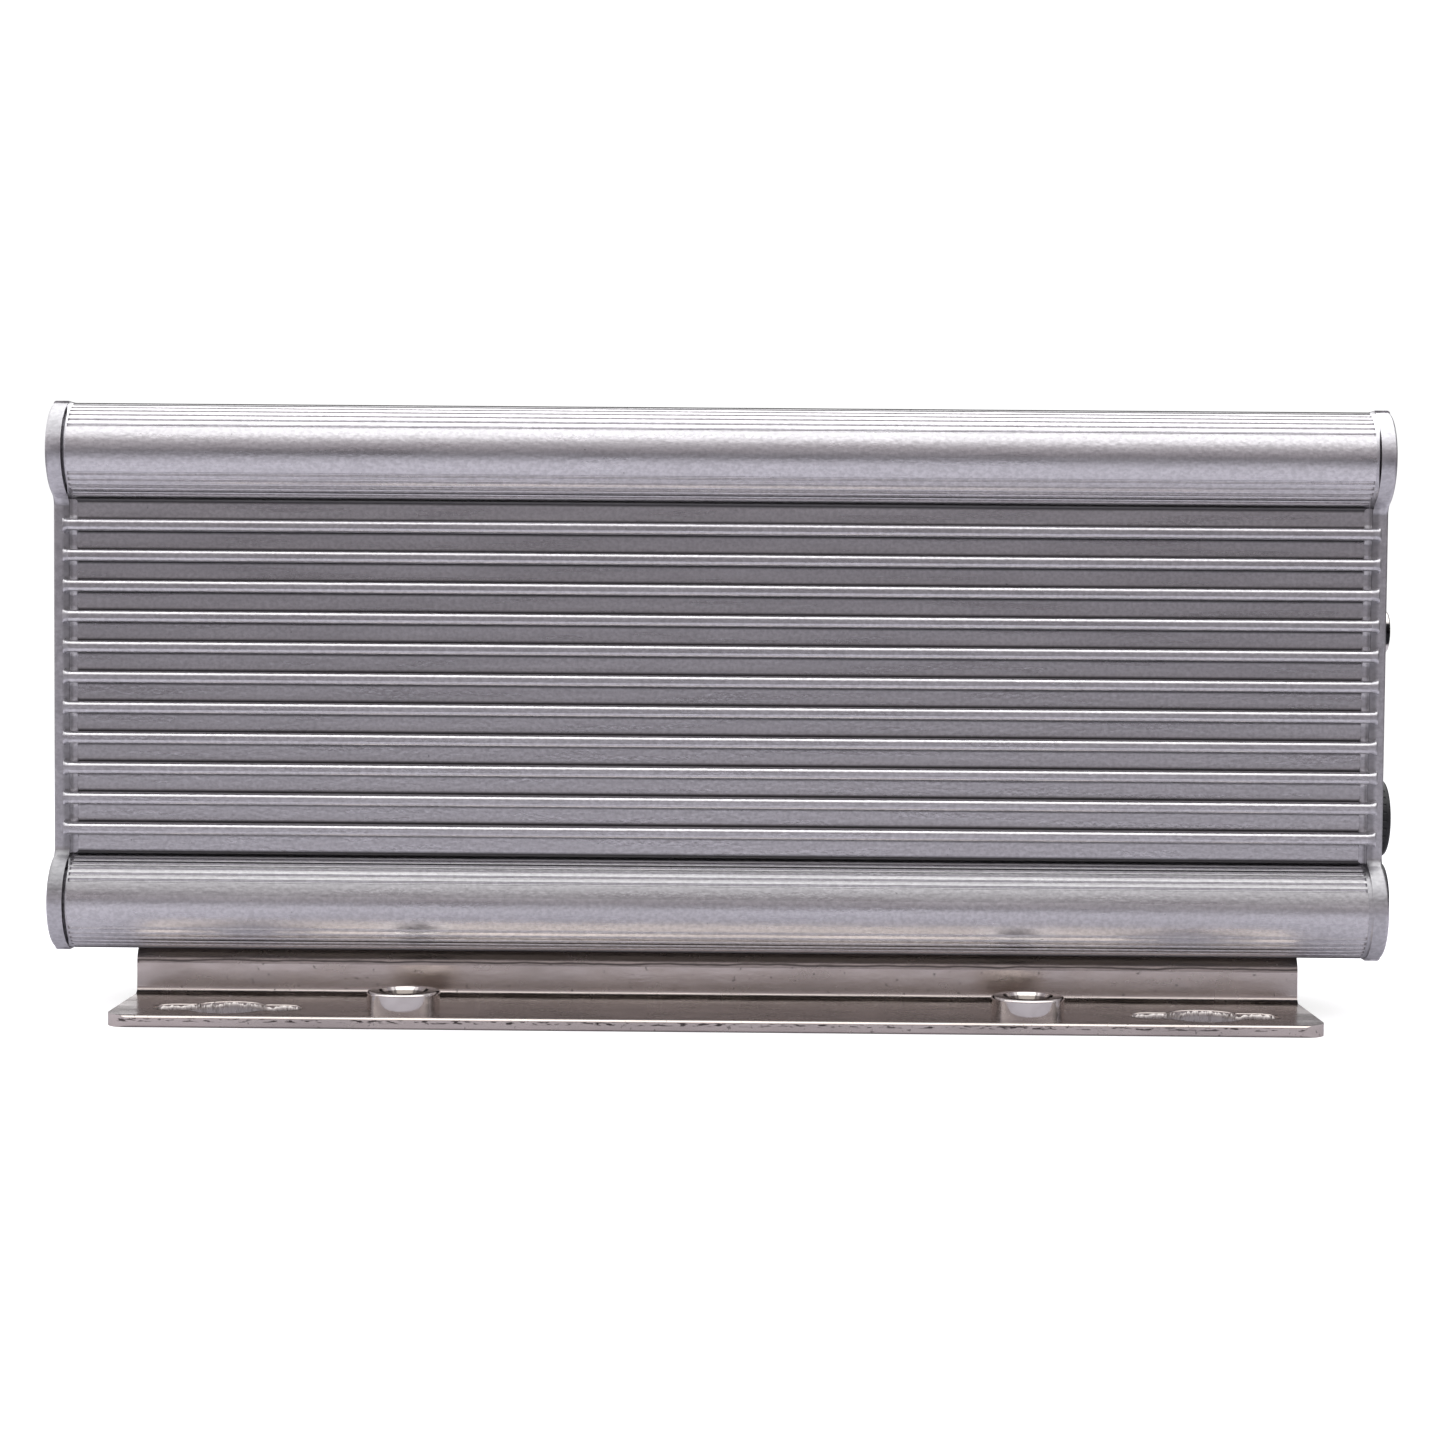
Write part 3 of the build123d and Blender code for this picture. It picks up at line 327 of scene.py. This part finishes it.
def turned_metal(name, colour, low, high, depth_mm=0.004):
    """Small plated or tinned metal parts: a little cloudy, with fine tool marks."""
    f = Finish(name, colour, metallic=1.0, roughness=low)
    f.paint(f.span(f.noise(1.5, 4.0), 0.45, 0.8), times(0.82, colour))
    f.polish(f.noise(0.7, 3.0, shift=2.5), low, high)
    f.bump(f.noise(0.18, 2.0, (0.3, 2.0, 2.0), shift=1.3), depth_mm)
    return f.material


def moulded(name, colour, low, high, grain_mm, depth_mm):
    """A moulded or cast plastic, rubber or resin with a fine skin texture."""
    f = Finish(name, colour, roughness=low)
    lighter = [min(1.0, 1.35 * c + 0.004) for c in colour]
    f.paint(f.span(f.noise(5.0, 4.0), 0.4, 0.75), lighter)
    f.polish(f.noise(1.2, 3.0, shift=2.0), low, high)
    f.bump(f.noise(grain_mm, 2.0, shift=4.0), depth_mm)
    return f.material


def solder_mask():
    """Green mask over copper: tracks and pads show as paler, slightly raised shapes."""
    f = Finish("solder_mask", (0.012, 0.11, 0.05), roughness=0.3, Coat_Weight=0.4)
    bricks = f.tree.nodes.new("ShaderNodeTexVoronoi")
    bricks.distance = "MANHATTAN"
    bricks.inputs["Scale"].default_value = 1.0 / (6.0 * MM)
    f.feed(bricks.inputs["Vector"], f.place)
    tracks = f.span(bricks.outputs["Distance"], 0.38, 0.42)
    f.paint(tracks, (0.03, 0.22, 0.09))
    f.polish(f.noise(2.0, 3.0), 0.22, 0.4)
    f.bump(tracks, 0.03)
    return f.material


WAVE_BANDS = 3.2  # bands that a wave texture of scale 1 makes in a metre


def wound(name, colour, stripe, pitch_mm, depth_mm, **constants):
    """Wire or tape laid side by side: ridges at the pitch of the turns."""
    f = Finish(name, colour, **constants)
    wave = f.tree.nodes.new("ShaderNodeTexWave")
    wave.bands_direction = "Y"
    wave.inputs["Scale"].default_value = 1.0 / (pitch_mm * MM * WAVE_BANDS)
    wave.inputs["Distortion"].default_value = 0.3
    f.feed(wave.inputs["Vector"], f.place)
    f.paint(f.span(wave.outputs["Fac"], 0.0, 0.35, 1.0, 0.0), stripe)
    f.polish(f.noise(0.8, 3.0), 0.22, 0.45)
    f.bump(wave.outputs["Fac"], depth_mm)
    return f.material


def clear(name, colour, roughness, haze):
    """A clear moulding with slight haze and swirls inside."""
    f = Finish(name, colour, roughness=roughness, Transmission_Weight=0.9, IOR=1.47)
    f.paint(f.span(f.noise(0.8, 3.0), 0.4, 0.7), times(haze, colour))
    f.polish(f.noise(0.5, 2.0, shift=1.0), roughness, roughness + 0.08)
    f.bump(f.noise(1.5, 1.0, shift=2.0), 0.006)
    return f.material


CASE = (0.86, 0.845, 0.865)
PLATE = (0.74, 0.73, 0.755)
NICKEL = (0.82, 0.74, 0.69)
DRAWN = (14.0, 1.0, 1.0)  # marks drawn out along the extrusion
EVEN = (1.0, 1.0, 1.0)
LEAD_SKIN = (0.3, 0.42, 0.7, 0.01)  # low and high roughness, grain and depth in mm
FINISHES = {
    "case_aluminium": blasted_aluminium("case_aluminium_blasted", CASE, DRAWN, (0.25, 0.34), True),
    "plate_aluminium": blasted_aluminium("plate_aluminium_blasted", PLATE, EVEN, (0.3, 0.42)),
    "bracket_steel": bracket_nickel(NICKEL),
    "plated_steel": plated_fittings(),
    "screw_steel": turned_metal("screw_zinc", (0.78, 0.78, 0.80), 0.2, 0.36),
    "black_rubber": moulded("rubber", (0.012, 0.012, 0.012), 0.62, 0.85, 0.4, 0.02),
    "black_plastic": moulded("port_plastic", (0.011, 0.011, 0.013), 0.34, 0.48, 0.22, 0.007),
    "clear_lens": clear("lamp_lens", (0.93, 0.94, 0.95), 0.04, 0.9),
    "tinned_copper": turned_metal("tinned", (0.80, 0.79, 0.76), 0.18, 0.34),
    "gold_brass": turned_metal("gold_flash", (0.87, 0.66, 0.31), 0.14, 0.28),
    "board": solder_mask(),
    "chip_resin": moulded("chip_resin", (0.016, 0.016, 0.017), 0.5, 0.66, 0.16, 0.008),
    "capacitor_sleeve": moulded("shrink_sleeve", (0.012, 0.017, 0.045), 0.16, 0.3, 1.8, 0.02),
    "ferrite": moulded("ferrite", (0.035, 0.034, 0.033), 0.42, 0.62, 0.25, 0.015),
    "bobbin_plastic": moulded("bobbin", (0.02, 0.02, 0.02), 0.3, 0.42, 0.5, 0.01),
    "winding_tape": wound("winding_tape", (0.78, 0.50, 0.045), (0.5, 0.27, 0.02), 9.5, 0.04,
                          roughness=0.28),
    "copper_wire": wound("enamelled_copper", (0.62, 0.22, 0.08), (0.2, 0.05, 0.02), 0.9, 0.12,
                         metallic=0.85, roughness=0.25, Coat_Weight=0.6),
    "relay_case": moulded("relay_case", (0.02, 0.06, 0.26), 0.2, 0.3, 0.6, 0.006),
    "film_case": moulded("film_case", (0.62, 0.46, 0.07), 0.24, 0.36, 0.6, 0.006),
    "varistor_resin": moulded("varistor_dip", (0.015, 0.09, 0.36), 0.14, 0.26, 1.6, 0.03),
    "fuse_glass": clear("fuse_glass", (0.95, 0.97, 0.96), 0.02, 0.97),
    "pad_silicone": moulded("silicone_pad", (0.36, 0.40, 0.45), 0.55, 0.75, 0.35, 0.015),
    "insulation": moulded("polyester_film", (0.66, 0.62, 0.5), 0.24, 0.4, 2.5, 0.02),
    "red_lead": moulded("red_insulation", (0.42, 0.012, 0.01), *LEAD_SKIN),
    "black_lead": moulded("black_insulation", (0.014, 0.014, 0.014), *LEAD_SKIN),
    "grey_lead": moulded("grey_insulation", (0.13, 0.13, 0.135), *LEAD_SKIN),
}
SHEARED = sheared_nickel()
PHOSPHOR = moulded("lamp_phosphor", (0.8, 0.62, 0.12), 0.5, 0.7, 0.1, 0.01)
MARK_PAINT = moulded("mark_paint", (0.8, 0.8, 0.78), 0.45, 0.6, 0.2, 0.005)

for node in nodes.values():
    for place in node.material_slots:
        place.material = FINISHES[place.material.name.split(".")[0]]


# ---------------------------------------------------------------- worked details
class Strip:
    """A mesh in millimetres, made of rows of points that faces join one to the next."""

    def __init__(self):
        self.points = []
        self.faces = []

    def add(self, rows, closed_rows=False, closed_loop=False):
        """rows is a list of equally long lists of points; neighbours are joined by quads."""
        start, wide = len(self.points), len(rows[0])
        for row in rows:
            self.points.extend(row)
        last = len(rows) if closed_loop else len(rows) - 1
        across = wide if closed_rows else wide - 1
        for i in range(last):
            a, b = start + i * wide, start + (i + 1) % len(rows) * wide
            for j in range(across):
                k = (j + 1) % wide
                self.faces.append((a + j, a + k, b + k, b + j))

    def cap(self, wide, first=None):
        """Closes the newest rows at their last row, or at the row that starts at point first."""
        start = len(self.points) - wide if first is None else first
        self.faces.append(tuple(range(start, start + wide)))

    def piece(self, name, material, slot):
        """The finished mesh, riding on the inverter's body."""
        mesh = bpy.data.meshes.new(name)
        mesh.from_pydata([[c * MM for c in p] for p in self.points], [], self.faces)
        mesh.validate()
        for polygon in mesh.polygons:
            polygon.use_smooth = True
        mesh.materials.append(material)
        made = bpy.data.objects.new(name, mesh)
        scene.collection.objects.link(made)
        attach(made, BODY)


def ripple(rng, waves, longest):
    """A repeatable wavy value from about -1 to 1 along a distance in millimetres."""
    parts = []
    for i in range(waves):
        parts.append((rng.uniform(0.4, 1.0), longest / 1.7 ** i, rng.uniform(0, math.tau)))
    total = sum(size / 1.25 ** i for i, (size, _, _) in enumerate(parts))

    def value(s):
        wave = sum(size / 1.25 ** i * math.sin(math.tau * s / length + turn)
                   for i, (size, length, turn) in enumerate(parts))
        return wave / total

    return value


def smooth(value, low, high):
    t = min(1.0, max(0.0, (value - low) / (high - low)))
    return t * t * (3 - 2 * t)


def keyhole_radius(turn):
    """Distance from a keyhole's middle to its edge, in a direction."""
    c, s = abs(math.cos(turn)), abs(math.sin(turn))
    reach = SLOT_RADIUS / s if s > 1e-6 else math.inf
    if reach * c > SLOT_HALF:
        reach = SLOT_HALF * c + math.sqrt(SLOT_RADIUS ** 2 - (SLOT_HALF * s) ** 2)
    return max(KEYHOLE_RADIUS, reach)


def keyhole_points(x, y, count=288):
    """(point, outward normal, distance along) round a double keyhole."""
    ring = []
    for i in range(count):
        turn = math.tau * (i + 0.5) / count
        r = keyhole_radius(turn)
        ring.append(Vector((x + r * math.cos(turn), y + r * math.sin(turn))))
    found, along = [], 0.0
    for i, here in enumerate(ring):
        step = ring[(i + 1) % count] - ring[i - 1]
        normal = Vector((step.y, -step.x)).normalized()
        found.append((here, normal, along))
        along += (ring[(i + 1) % count] - here).length
    return found


def profile_points(p, n, profile):
    """A row from (distance out along the normal, height) pairs."""
    return [(*(p + n * out), height) for out, height in profile]


def keyhole_edges():
    """The torn wall and the rolled burr that punching left round each keyhole."""
    rng = random.Random(21)
    wall, burr = Strip(), Strip()
    for x in (-KEYHOLE_X, KEYHOLE_X):
        for y in (-FLANGE_HOLE_Y, FLANGE_HOLE_Y):
            ragged, coarse, swell = ripple(rng, 5, 1.9), ripple(rng, 3, 9.0), ripple(rng, 4, 5.0)
            wall_rows, burr_rows = [], []
            for p, n, s in keyhole_points(x, y):
                torn = SHEET_TOP - 0.12 - 0.5 * max(0.0, 0.35 + 0.7 * ragged(s) + 0.5 * coarse(s))
                inner = 0.05 + 0.03 * ragged(s + 4.0)
                wall_rows.append(profile_points(p, n, [
                    (0.02, torn + 0.03),
                    (-0.6 * inner, torn),
                    (-inner, 0.5 * torn + 0.1),
                    (-0.8 * inner, 0.12),
                    (0.02, 0.06),
                ]))
                wide = 0.28 + 0.2 * swell(s)
                high = 0.035 + 0.03 * ragged(s + 2.0)
                burr_rows.append(profile_points(p, n, [
                    (wide, SHEET_TOP - 0.01),
                    (0.6 * wide, SHEET_TOP + 0.7 * high),
                    (0.2 * wide, SHEET_TOP + high),
                    (-0.03, SHEET_TOP + 0.3 * high),
                    (-0.01, SHEET_TOP - 0.2),
                ]))
            wall.add(wall_rows, closed_loop=True)
            burr.add(burr_rows, closed_loop=True)
    wall.piece("keyhole_sheared_walls", SHEARED, "bracket_steel")
    burr.piece("keyhole_burrs", FINISHES["bracket_steel"], "bracket_steel")


def nut_threads():
    """The 1 mm pitch thread inside each clinch nut, as a winding ridge."""
    ridge, steps_per_turn, low, high = Strip(), 36, 0.5, NUT_TOP - 1.4
    depth, run_out = 0.26, 12
    root_half, crest_half = 0.36, 0.06
    steps = int((high - low) * steps_per_turn)
    for x in (-NUT_X, NUT_X):
        for y in (-FLANGE_HOLE_Y, FLANGE_HOLE_Y):
            rows = []
            for i in range(steps + 1):
                turn, z = math.tau * i / steps_per_turn, low + i / steps_per_turn
                taper = min(1.0, i / run_out, (steps - i) / run_out)
                crest = NUT_BORE - 0.02 - depth * taper
                c, s = math.cos(turn), math.sin(turn)
                section = [(NUT_BORE, -root_half), (crest, -crest_half),
                           (crest, crest_half), (NUT_BORE, root_half)]
                rows.append([(x + r * c, y + r * s, z + rise) for r, rise in section])
            ridge.add(rows, closed_rows=True)
    ridge.piece("clinch_nut_threads", FINISHES["plated_steel"], "plated_steel")


JOINT_STEP = 0.13  # distance from one point of the joint to the next


def joint_path():
    """Half the case's outline from its top down, as (y, z, out_y, out_z, bead angle or None)."""
    path = []
    top, arc_steps, floor_steps = math.pi / 2, 90, 420
    for i in range(arc_steps + 1):
        a = top + (-ROOT_ANGLE - top) * i / arc_steps
        path.append((BEAD_Y, BEAD_HIGH, math.cos(a), math.sin(a), a))
    low = BEAD_LOW + BEAD_RADIUS * math.sin(ROOT_ANGLE)
    high = BEAD_HIGH - BEAD_RADIUS * math.sin(ROOT_ANGLE)
    for i in range(1, floor_steps):
        path.append((FLOOR_Y, high + (low - high) * i / floor_steps, 1.0, 0.0, None))
    for i in range(arc_steps + 1):
        a = ROOT_ANGLE + (-top - ROOT_ANGLE) * i / arc_steps
        path.append((BEAD_Y, BEAD_LOW, math.cos(a), math.sin(a), a))
    return path


def floor_fillet(z, w):
    """The run-in finish between the fins as (x, distance out); it climbs beside each fin."""
    near_fin = min(abs(z - fin) for fin in FIN_Z)
    climb = 0.3 * (1.0 - smooth(near_fin, 0.8, 1.5))
    return [
        (HOUSING_END - 0.75, -0.03),
        (HOUSING_END - 0.45 + w, 0.03 + 0.4 * climb),
        (HOUSING_END - 0.1 + w, 0.16 + w + climb),
        (HOUSING_END + 0.3 + w, 0.45 + 0.6 * climb),
        (PLATE_INNER + 0.02, 0.74),
    ]


def bead_fillet(open_line, w):
    """The run-in finish round a bead; open_line is 1 where the joint is left open."""
    shut = PLATE_INNER - 0.4 * open_line
    return [
        (HOUSING_END - 0.3, -0.04),
        (HOUSING_END - 0.05 + w, 0.02),
        (HOUSING_END + 0.15 + w, 0.02),
        (shut - 0.02, 0.10 - 0.12 * open_line),
        (shut + 0.02, 0.16 - 0.6 * open_line),
    ]


def joint_opening(end, z, angle):
    """How open the joint is on a bead's outer side: fully at the DC end, less at the upper AC end."""
    if end < 0:
        return 1.0 - smooth(abs(angle), 0.75, 1.25)
    if z == BEAD_HIGH:
        return 0.7 - 0.7 * smooth(abs(angle), 0.1, 0.8)
    return 0.0


def joint_fillets():
    """Finish that has run into the joint between the case and each end plate.

    It closes the joint along the finned recess. On the outer side of the beads a thin open line is
    left in which the gasket shows: on all of them at the DC end, and a short one on the upper beads
    at the AC end.
    """
    rng = random.Random(8)
    strip = Strip()
    for side in (-1, 1):
        for end in (-1, 1):
            wobble, lumps = ripple(rng, 5, 5.0), ripple(rng, 5, 1.6)
            rows, along = [], 0.0
            for y, z, out_y, out_z, angle in joint_path():
                along += JOINT_STEP
                w = 0.04 * wobble(along) + 0.02 * lumps(along)
                if angle is None:
                    base, profile = 0.0, floor_fillet(z, w)
                else:
                    base, profile = BEAD_RADIUS, bead_fillet(joint_opening(end, z, angle), w)
                profile += [(PLATE_INNER + 0.04, -0.45), (HOUSING_END - 0.1, -0.5)]
                rows.append([(end * x, side * (y + out_y * (base + d)), z + out_z * (base + d))
                             for x, d in profile])
            start = len(strip.points)
            strip.add(rows, closed_rows=True)
            strip.cap(len(rows[0]), first=start)
            strip.cap(len(rows[0]))
    strip.piece("joint_fillets", FINISHES["plate_aluminium"], "case_aluminium")


# (distance past the case's end, reach past the floor, half thickness) along a fin's end
FIN_END = [(-0.08, 3.58, 0.83), (0.2, 3.62, 0.86), (0.85, 3.62, 0.88), (1.2, 3.5, 0.95),
           (1.42, 3.0, 1.05), (1.56, 2.0, 1.15), (1.63, 1.2, 1.25), (1.66, 0.7, 1.3)]
FLARE_START = 0.5
DC_FIN_SHORTER = 0.7


def fin_section(reach, half):
    """A fin's rounded outline as (distance past the floor, z from its middle)."""
    corner = min(FIN_CORNER, 0.6 * reach)
    root, corner_steps = 0.3, 5
    turns = [math.pi / 2 * i / corner_steps for i in range(corner_steps + 1)]
    one_side = [(reach - corner + corner * math.sin(t), half - corner + corner * math.cos(t))
                for t in turns]
    other_side = [(d, -z) for d, z in reversed(one_side)]
    return [(root, half)] + one_side + other_side + [(root, -half)]


def fin_ends():
    """Each fin's end, run together with the end plate under the same finish."""
    rng = random.Random(33)
    strip = Strip()
    for side in (-1, 1):
        for end in (-1, 1):
            for fin in FIN_Z:
                longer, wider = rng.uniform(0.93, 1.05), rng.uniform(0.96, 1.06)
                if end < 0:
                    longer *= DC_FIN_SHORTER
                rows = []
                for x, reach, half in FIN_END:
                    swell = half if x < FLARE_START else half * wider
                    rows.append([(end * (HOUSING_END + longer * x), side * (FLOOR_Y + d), fin + z)
                                 for d, z in fin_section(reach, swell)])
                strip.add(rows)
    strip.piece("fin_ends", FINISHES["plate_aluminium"], "case_aluminium")


def ring_x(x, radius, z, count=40):
    turns = [math.tau * i / count for i in range(count)]
    return [(x, radius * math.cos(t), z + radius * math.sin(t)) for t in turns]


def lamp_turning(name, profile, material, slot, closed_loop=False):
    """A round piece inside the lamp, from (x past the end plate, radius) pairs."""
    strip = Strip()
    rings = [ring_x(END_X + x, r, LED_Z) for x, r in profile]
    strip.add(rings, closed_rows=True, closed_loop=closed_loop)
    strip.piece(name, material, slot)


def lamp_inside():
    """The reflector cup and die that show through the lamp's clear lens."""
    cup = [(-1.2, 0.3), (-1.2, 1.05), (0.3, 1.05), (0.3, 0.85), (-0.5, 0.45), (-0.5, 0.3)]
    lamp_turning("lamp_cup", cup, FINISHES["tinned_copper"], "tinned_copper", closed_loop=True)
    die = [(-0.48, 0.01), (-0.48, 0.4), (-0.2, 0.42), (-0.05, 0.3), (0.0, 0.01)]
    lamp_turning("lamp_die", die, PHOSPHOR, "film_case")


def polarity_marks():
    """A minus and a plus printed on the flanges of the panel inputs."""
    arm, half, off_axis = 0.85, 0.22, 6.6
    sunk, shoulder, thickness, rounding = 0.05, 0.03, 0.04, 0.06
    minus = [(-arm, -half), (arm, -half), (arm, half), (-arm, half)]
    plus = [(-arm, -half), (-half, -half), (-half, -arm), (half, -arm), (half, -half), (arm, -half),
            (arm, half), (half, half), (half, arm), (-half, arm), (-half, half), (-arm, half)]
    layers = ((PV_FACE + sunk, 1.0), (PV_FACE - shoulder, 1.0),
              (PV_FACE - thickness, 1.0 - rounding))
    marks = Strip()
    for z, outline in ((PV_MINUS_Z, minus), (PV_PLUS_Z, plus)):
        rows = [[(x, -off_axis + shrink * v, z + shrink * w) for v, w in outline]
                for x, shrink in layers]
        marks.add(rows, closed_rows=True)
        marks.cap(len(outline))
    marks.piece("polarity_marks", MARK_PAINT, "insulation")


keyhole_edges()
nut_threads()
joint_fillets()
fin_ends()
lamp_inside()
polarity_marks()


# ---------------------------------------------------------------- floor, light and camera
FLOOR_COLOUR = (0.44, 0.43, 0.475)
FLOOR_LIFT = (0.8, 0.97)  # white added for the camera alone, near and far
FLOOR_NEAR, FLOOR_FAR = 0.2, 0.7  # in metres from the middle
FLOOR_REACH = 6000.0  # in mm

SKY = 2.3
# (height in the room, colour): a height is the z of a direction, plus ROOM_TILT times its y
ROOM = [(-0.27, (0.085, 0.077, 0.083)), (-0.16, (0.33, 0.30, 0.325)), (0.08, (0.38, 0.35, 0.37)),
        (0.26, (0.62, 0.59, 0.61)), (0.42, (1.35, 1.33, 1.36)), (0.75, (1.7, 1.7, 1.71)),
        (0.95, (SKY, SKY, SKY))]
ROOM_TILT = 0.3
ROOM_SPAN = 1.2
FLAG_TOWARDS = (0.8, 0.6, 0.0)
FLAG_EDGE, FLAG_MIDDLE, FLAG_LEFT_OVER = 0.6, 0.88, 0.12
BACKDROP = 1.05


def studio_floor():
    """A plain pale floor with painted shade that darkens it away from the middle, lifted towards
    white where the camera sees it directly.
    """
    f = Finish("studio_floor", FLOOR_COLOUR, roughness=0.9, Specular_IOR_Level=0.1)
    distance = f.add("ShaderNodeVectorMath", Vector=f.place)
    distance.operation = "LENGTH"
    away = f.span(distance.outputs["Value"], FLOOR_NEAR, FLOOR_FAR)
    f.paint(f.span(f.noise(60.0, 3.0), 0.3, 0.7), times(0.985, FLOOR_COLOUR))
    # painted shade: the floor darkens away from the middle
    f.paint(away, times(0.12, FLOOR_COLOUR))
    f.bump(f.noise(2.0, 2.0), 0.01)
    seen = f.add("ShaderNodeLightPath").outputs["Is Camera Ray"]
    f.shader.inputs["Emission Color"].default_value = (1.0, 1.0, 0.985, 1.0)
    lift = f.span(distance.outputs["Value"], FLOOR_NEAR, FLOOR_FAR, *FLOOR_LIFT)
    f.feed(f.shader.inputs["Emission Strength"], f.maths("MULTIPLY", seen, lift))
    sides, under_feet = 64, -0.02
    turns = [math.tau * i / sides for i in range(sides)]
    rim = [(FLOOR_REACH * math.cos(t), FLOOR_REACH * math.sin(t), under_feet) for t in turns]
    mesh = bpy.data.meshes.new("studio_floor")
    mesh.from_pydata([[c * MM for c in p] for p in rim], [], [tuple(range(sides))])
    mesh.materials.append(f.material)
    floor = bpy.data.objects.new("studio_floor", mesh)
    scene.collection.objects.link(floor)


def studio_light():
    """White softbox overhead that comes lower behind the object, and a dim warm-grey room.

    A black flag stands behind on the right, and the camera alone sees a white backdrop.
    """
    world = bpy.data.worlds.new("studio")
    scene.world = world
    world.use_nodes = True
    tree = world.node_tree
    tree.nodes.clear()
    new, link = tree.nodes.new, tree.links.new
    direction = new("ShaderNodeTexCoord").outputs["Generated"]

    def towards(vector, low, high, to_low, to_high):
        """How far a direction lies along a vector, as a range of values."""
        along, limits = new("ShaderNodeVectorMath"), new("ShaderNodeMapRange")
        along.operation = "DOT_PRODUCT"
        along.inputs[1].default_value = vector
        for socket, value in zip(("From Min", "From Max", "To Min", "To Max"),
                                 (low, high, to_low, to_high)):
            limits.inputs[socket].default_value = value
        link(direction, along.inputs[0])
        link(along.outputs["Value"], limits.inputs["Value"])
        return limits.outputs["Result"]

    height = towards((0.0, ROOM_TILT, 1.0), -ROOM_SPAN, ROOM_SPAN, 0.0, 1.0)
    strength = towards(FLAG_TOWARDS, FLAG_EDGE, FLAG_MIDDLE, SKY, FLAG_LEFT_OVER * SKY)
    ramp = new("ShaderNodeValToRGB")
    stops = ramp.color_ramp.elements
    while len(stops) < len(ROOM):
        stops.new(1.0)
    for stop, (level, colour) in zip(stops, ROOM):
        stop.position = (level + ROOM_SPAN) / (2 * ROOM_SPAN)
        stop.color = (*[min(1.0, c / SKY) for c in colour], 1.0)
    room, backdrop = new("ShaderNodeBackground"), new("ShaderNodeBackground")
    backdrop.inputs["Color"].default_value = (1.0, 1.0, 1.0, 1.0)
    backdrop.inputs["Strength"].default_value = BACKDROP
    path, mixer = new("ShaderNodeLightPath"), new("ShaderNodeMixShader")
    output = new("ShaderNodeOutputWorld")
    link(height, ramp.inputs["Fac"])
    link(ramp.outputs["Color"], room.inputs["Color"])
    link(strength, room.inputs["Strength"])
    link(path.outputs["Is Camera Ray"], mixer.inputs[0])
    link(room.outputs[0], mixer.inputs[1])
    link(backdrop.outputs[0], mixer.inputs[2])
    link(mixer.outputs[0], output.inputs["Surface"])
    scene.view_settings.view_transform = "Standard"
    scene.view_settings.look = "None"


def camera():
    """A short telephoto close in front, a little above the middle and turned slightly down.

    It stands at a place in metres, and its turns are in radians.
    """
    lens = bpy.data.cameras.new("camera")
    lens.sensor_width = 36.0
    lens.lens = 70.19
    lens.clip_start, lens.clip_end = 0.01, 50.0
    made = bpy.data.objects.new("camera", lens)
    scene.collection.objects.link(made)
    yaw, pitch, roll = 0.0072392, -0.0452773, -0.00793395
    stand = (0.003705, -0.43851, 0.06321)
    level = Matrix.Rotation(math.pi / 2, 4, "X")
    turned = Matrix.Rotation(yaw, 4, "Z") @ Matrix.Rotation(pitch, 4, "X")
    turned = turned @ Matrix.Rotation(roll, 4, "Y")
    made.matrix_world = Matrix.Translation(stand) @ turned @ level
    scene.camera = made


studio_floor()
studio_light()
camera()
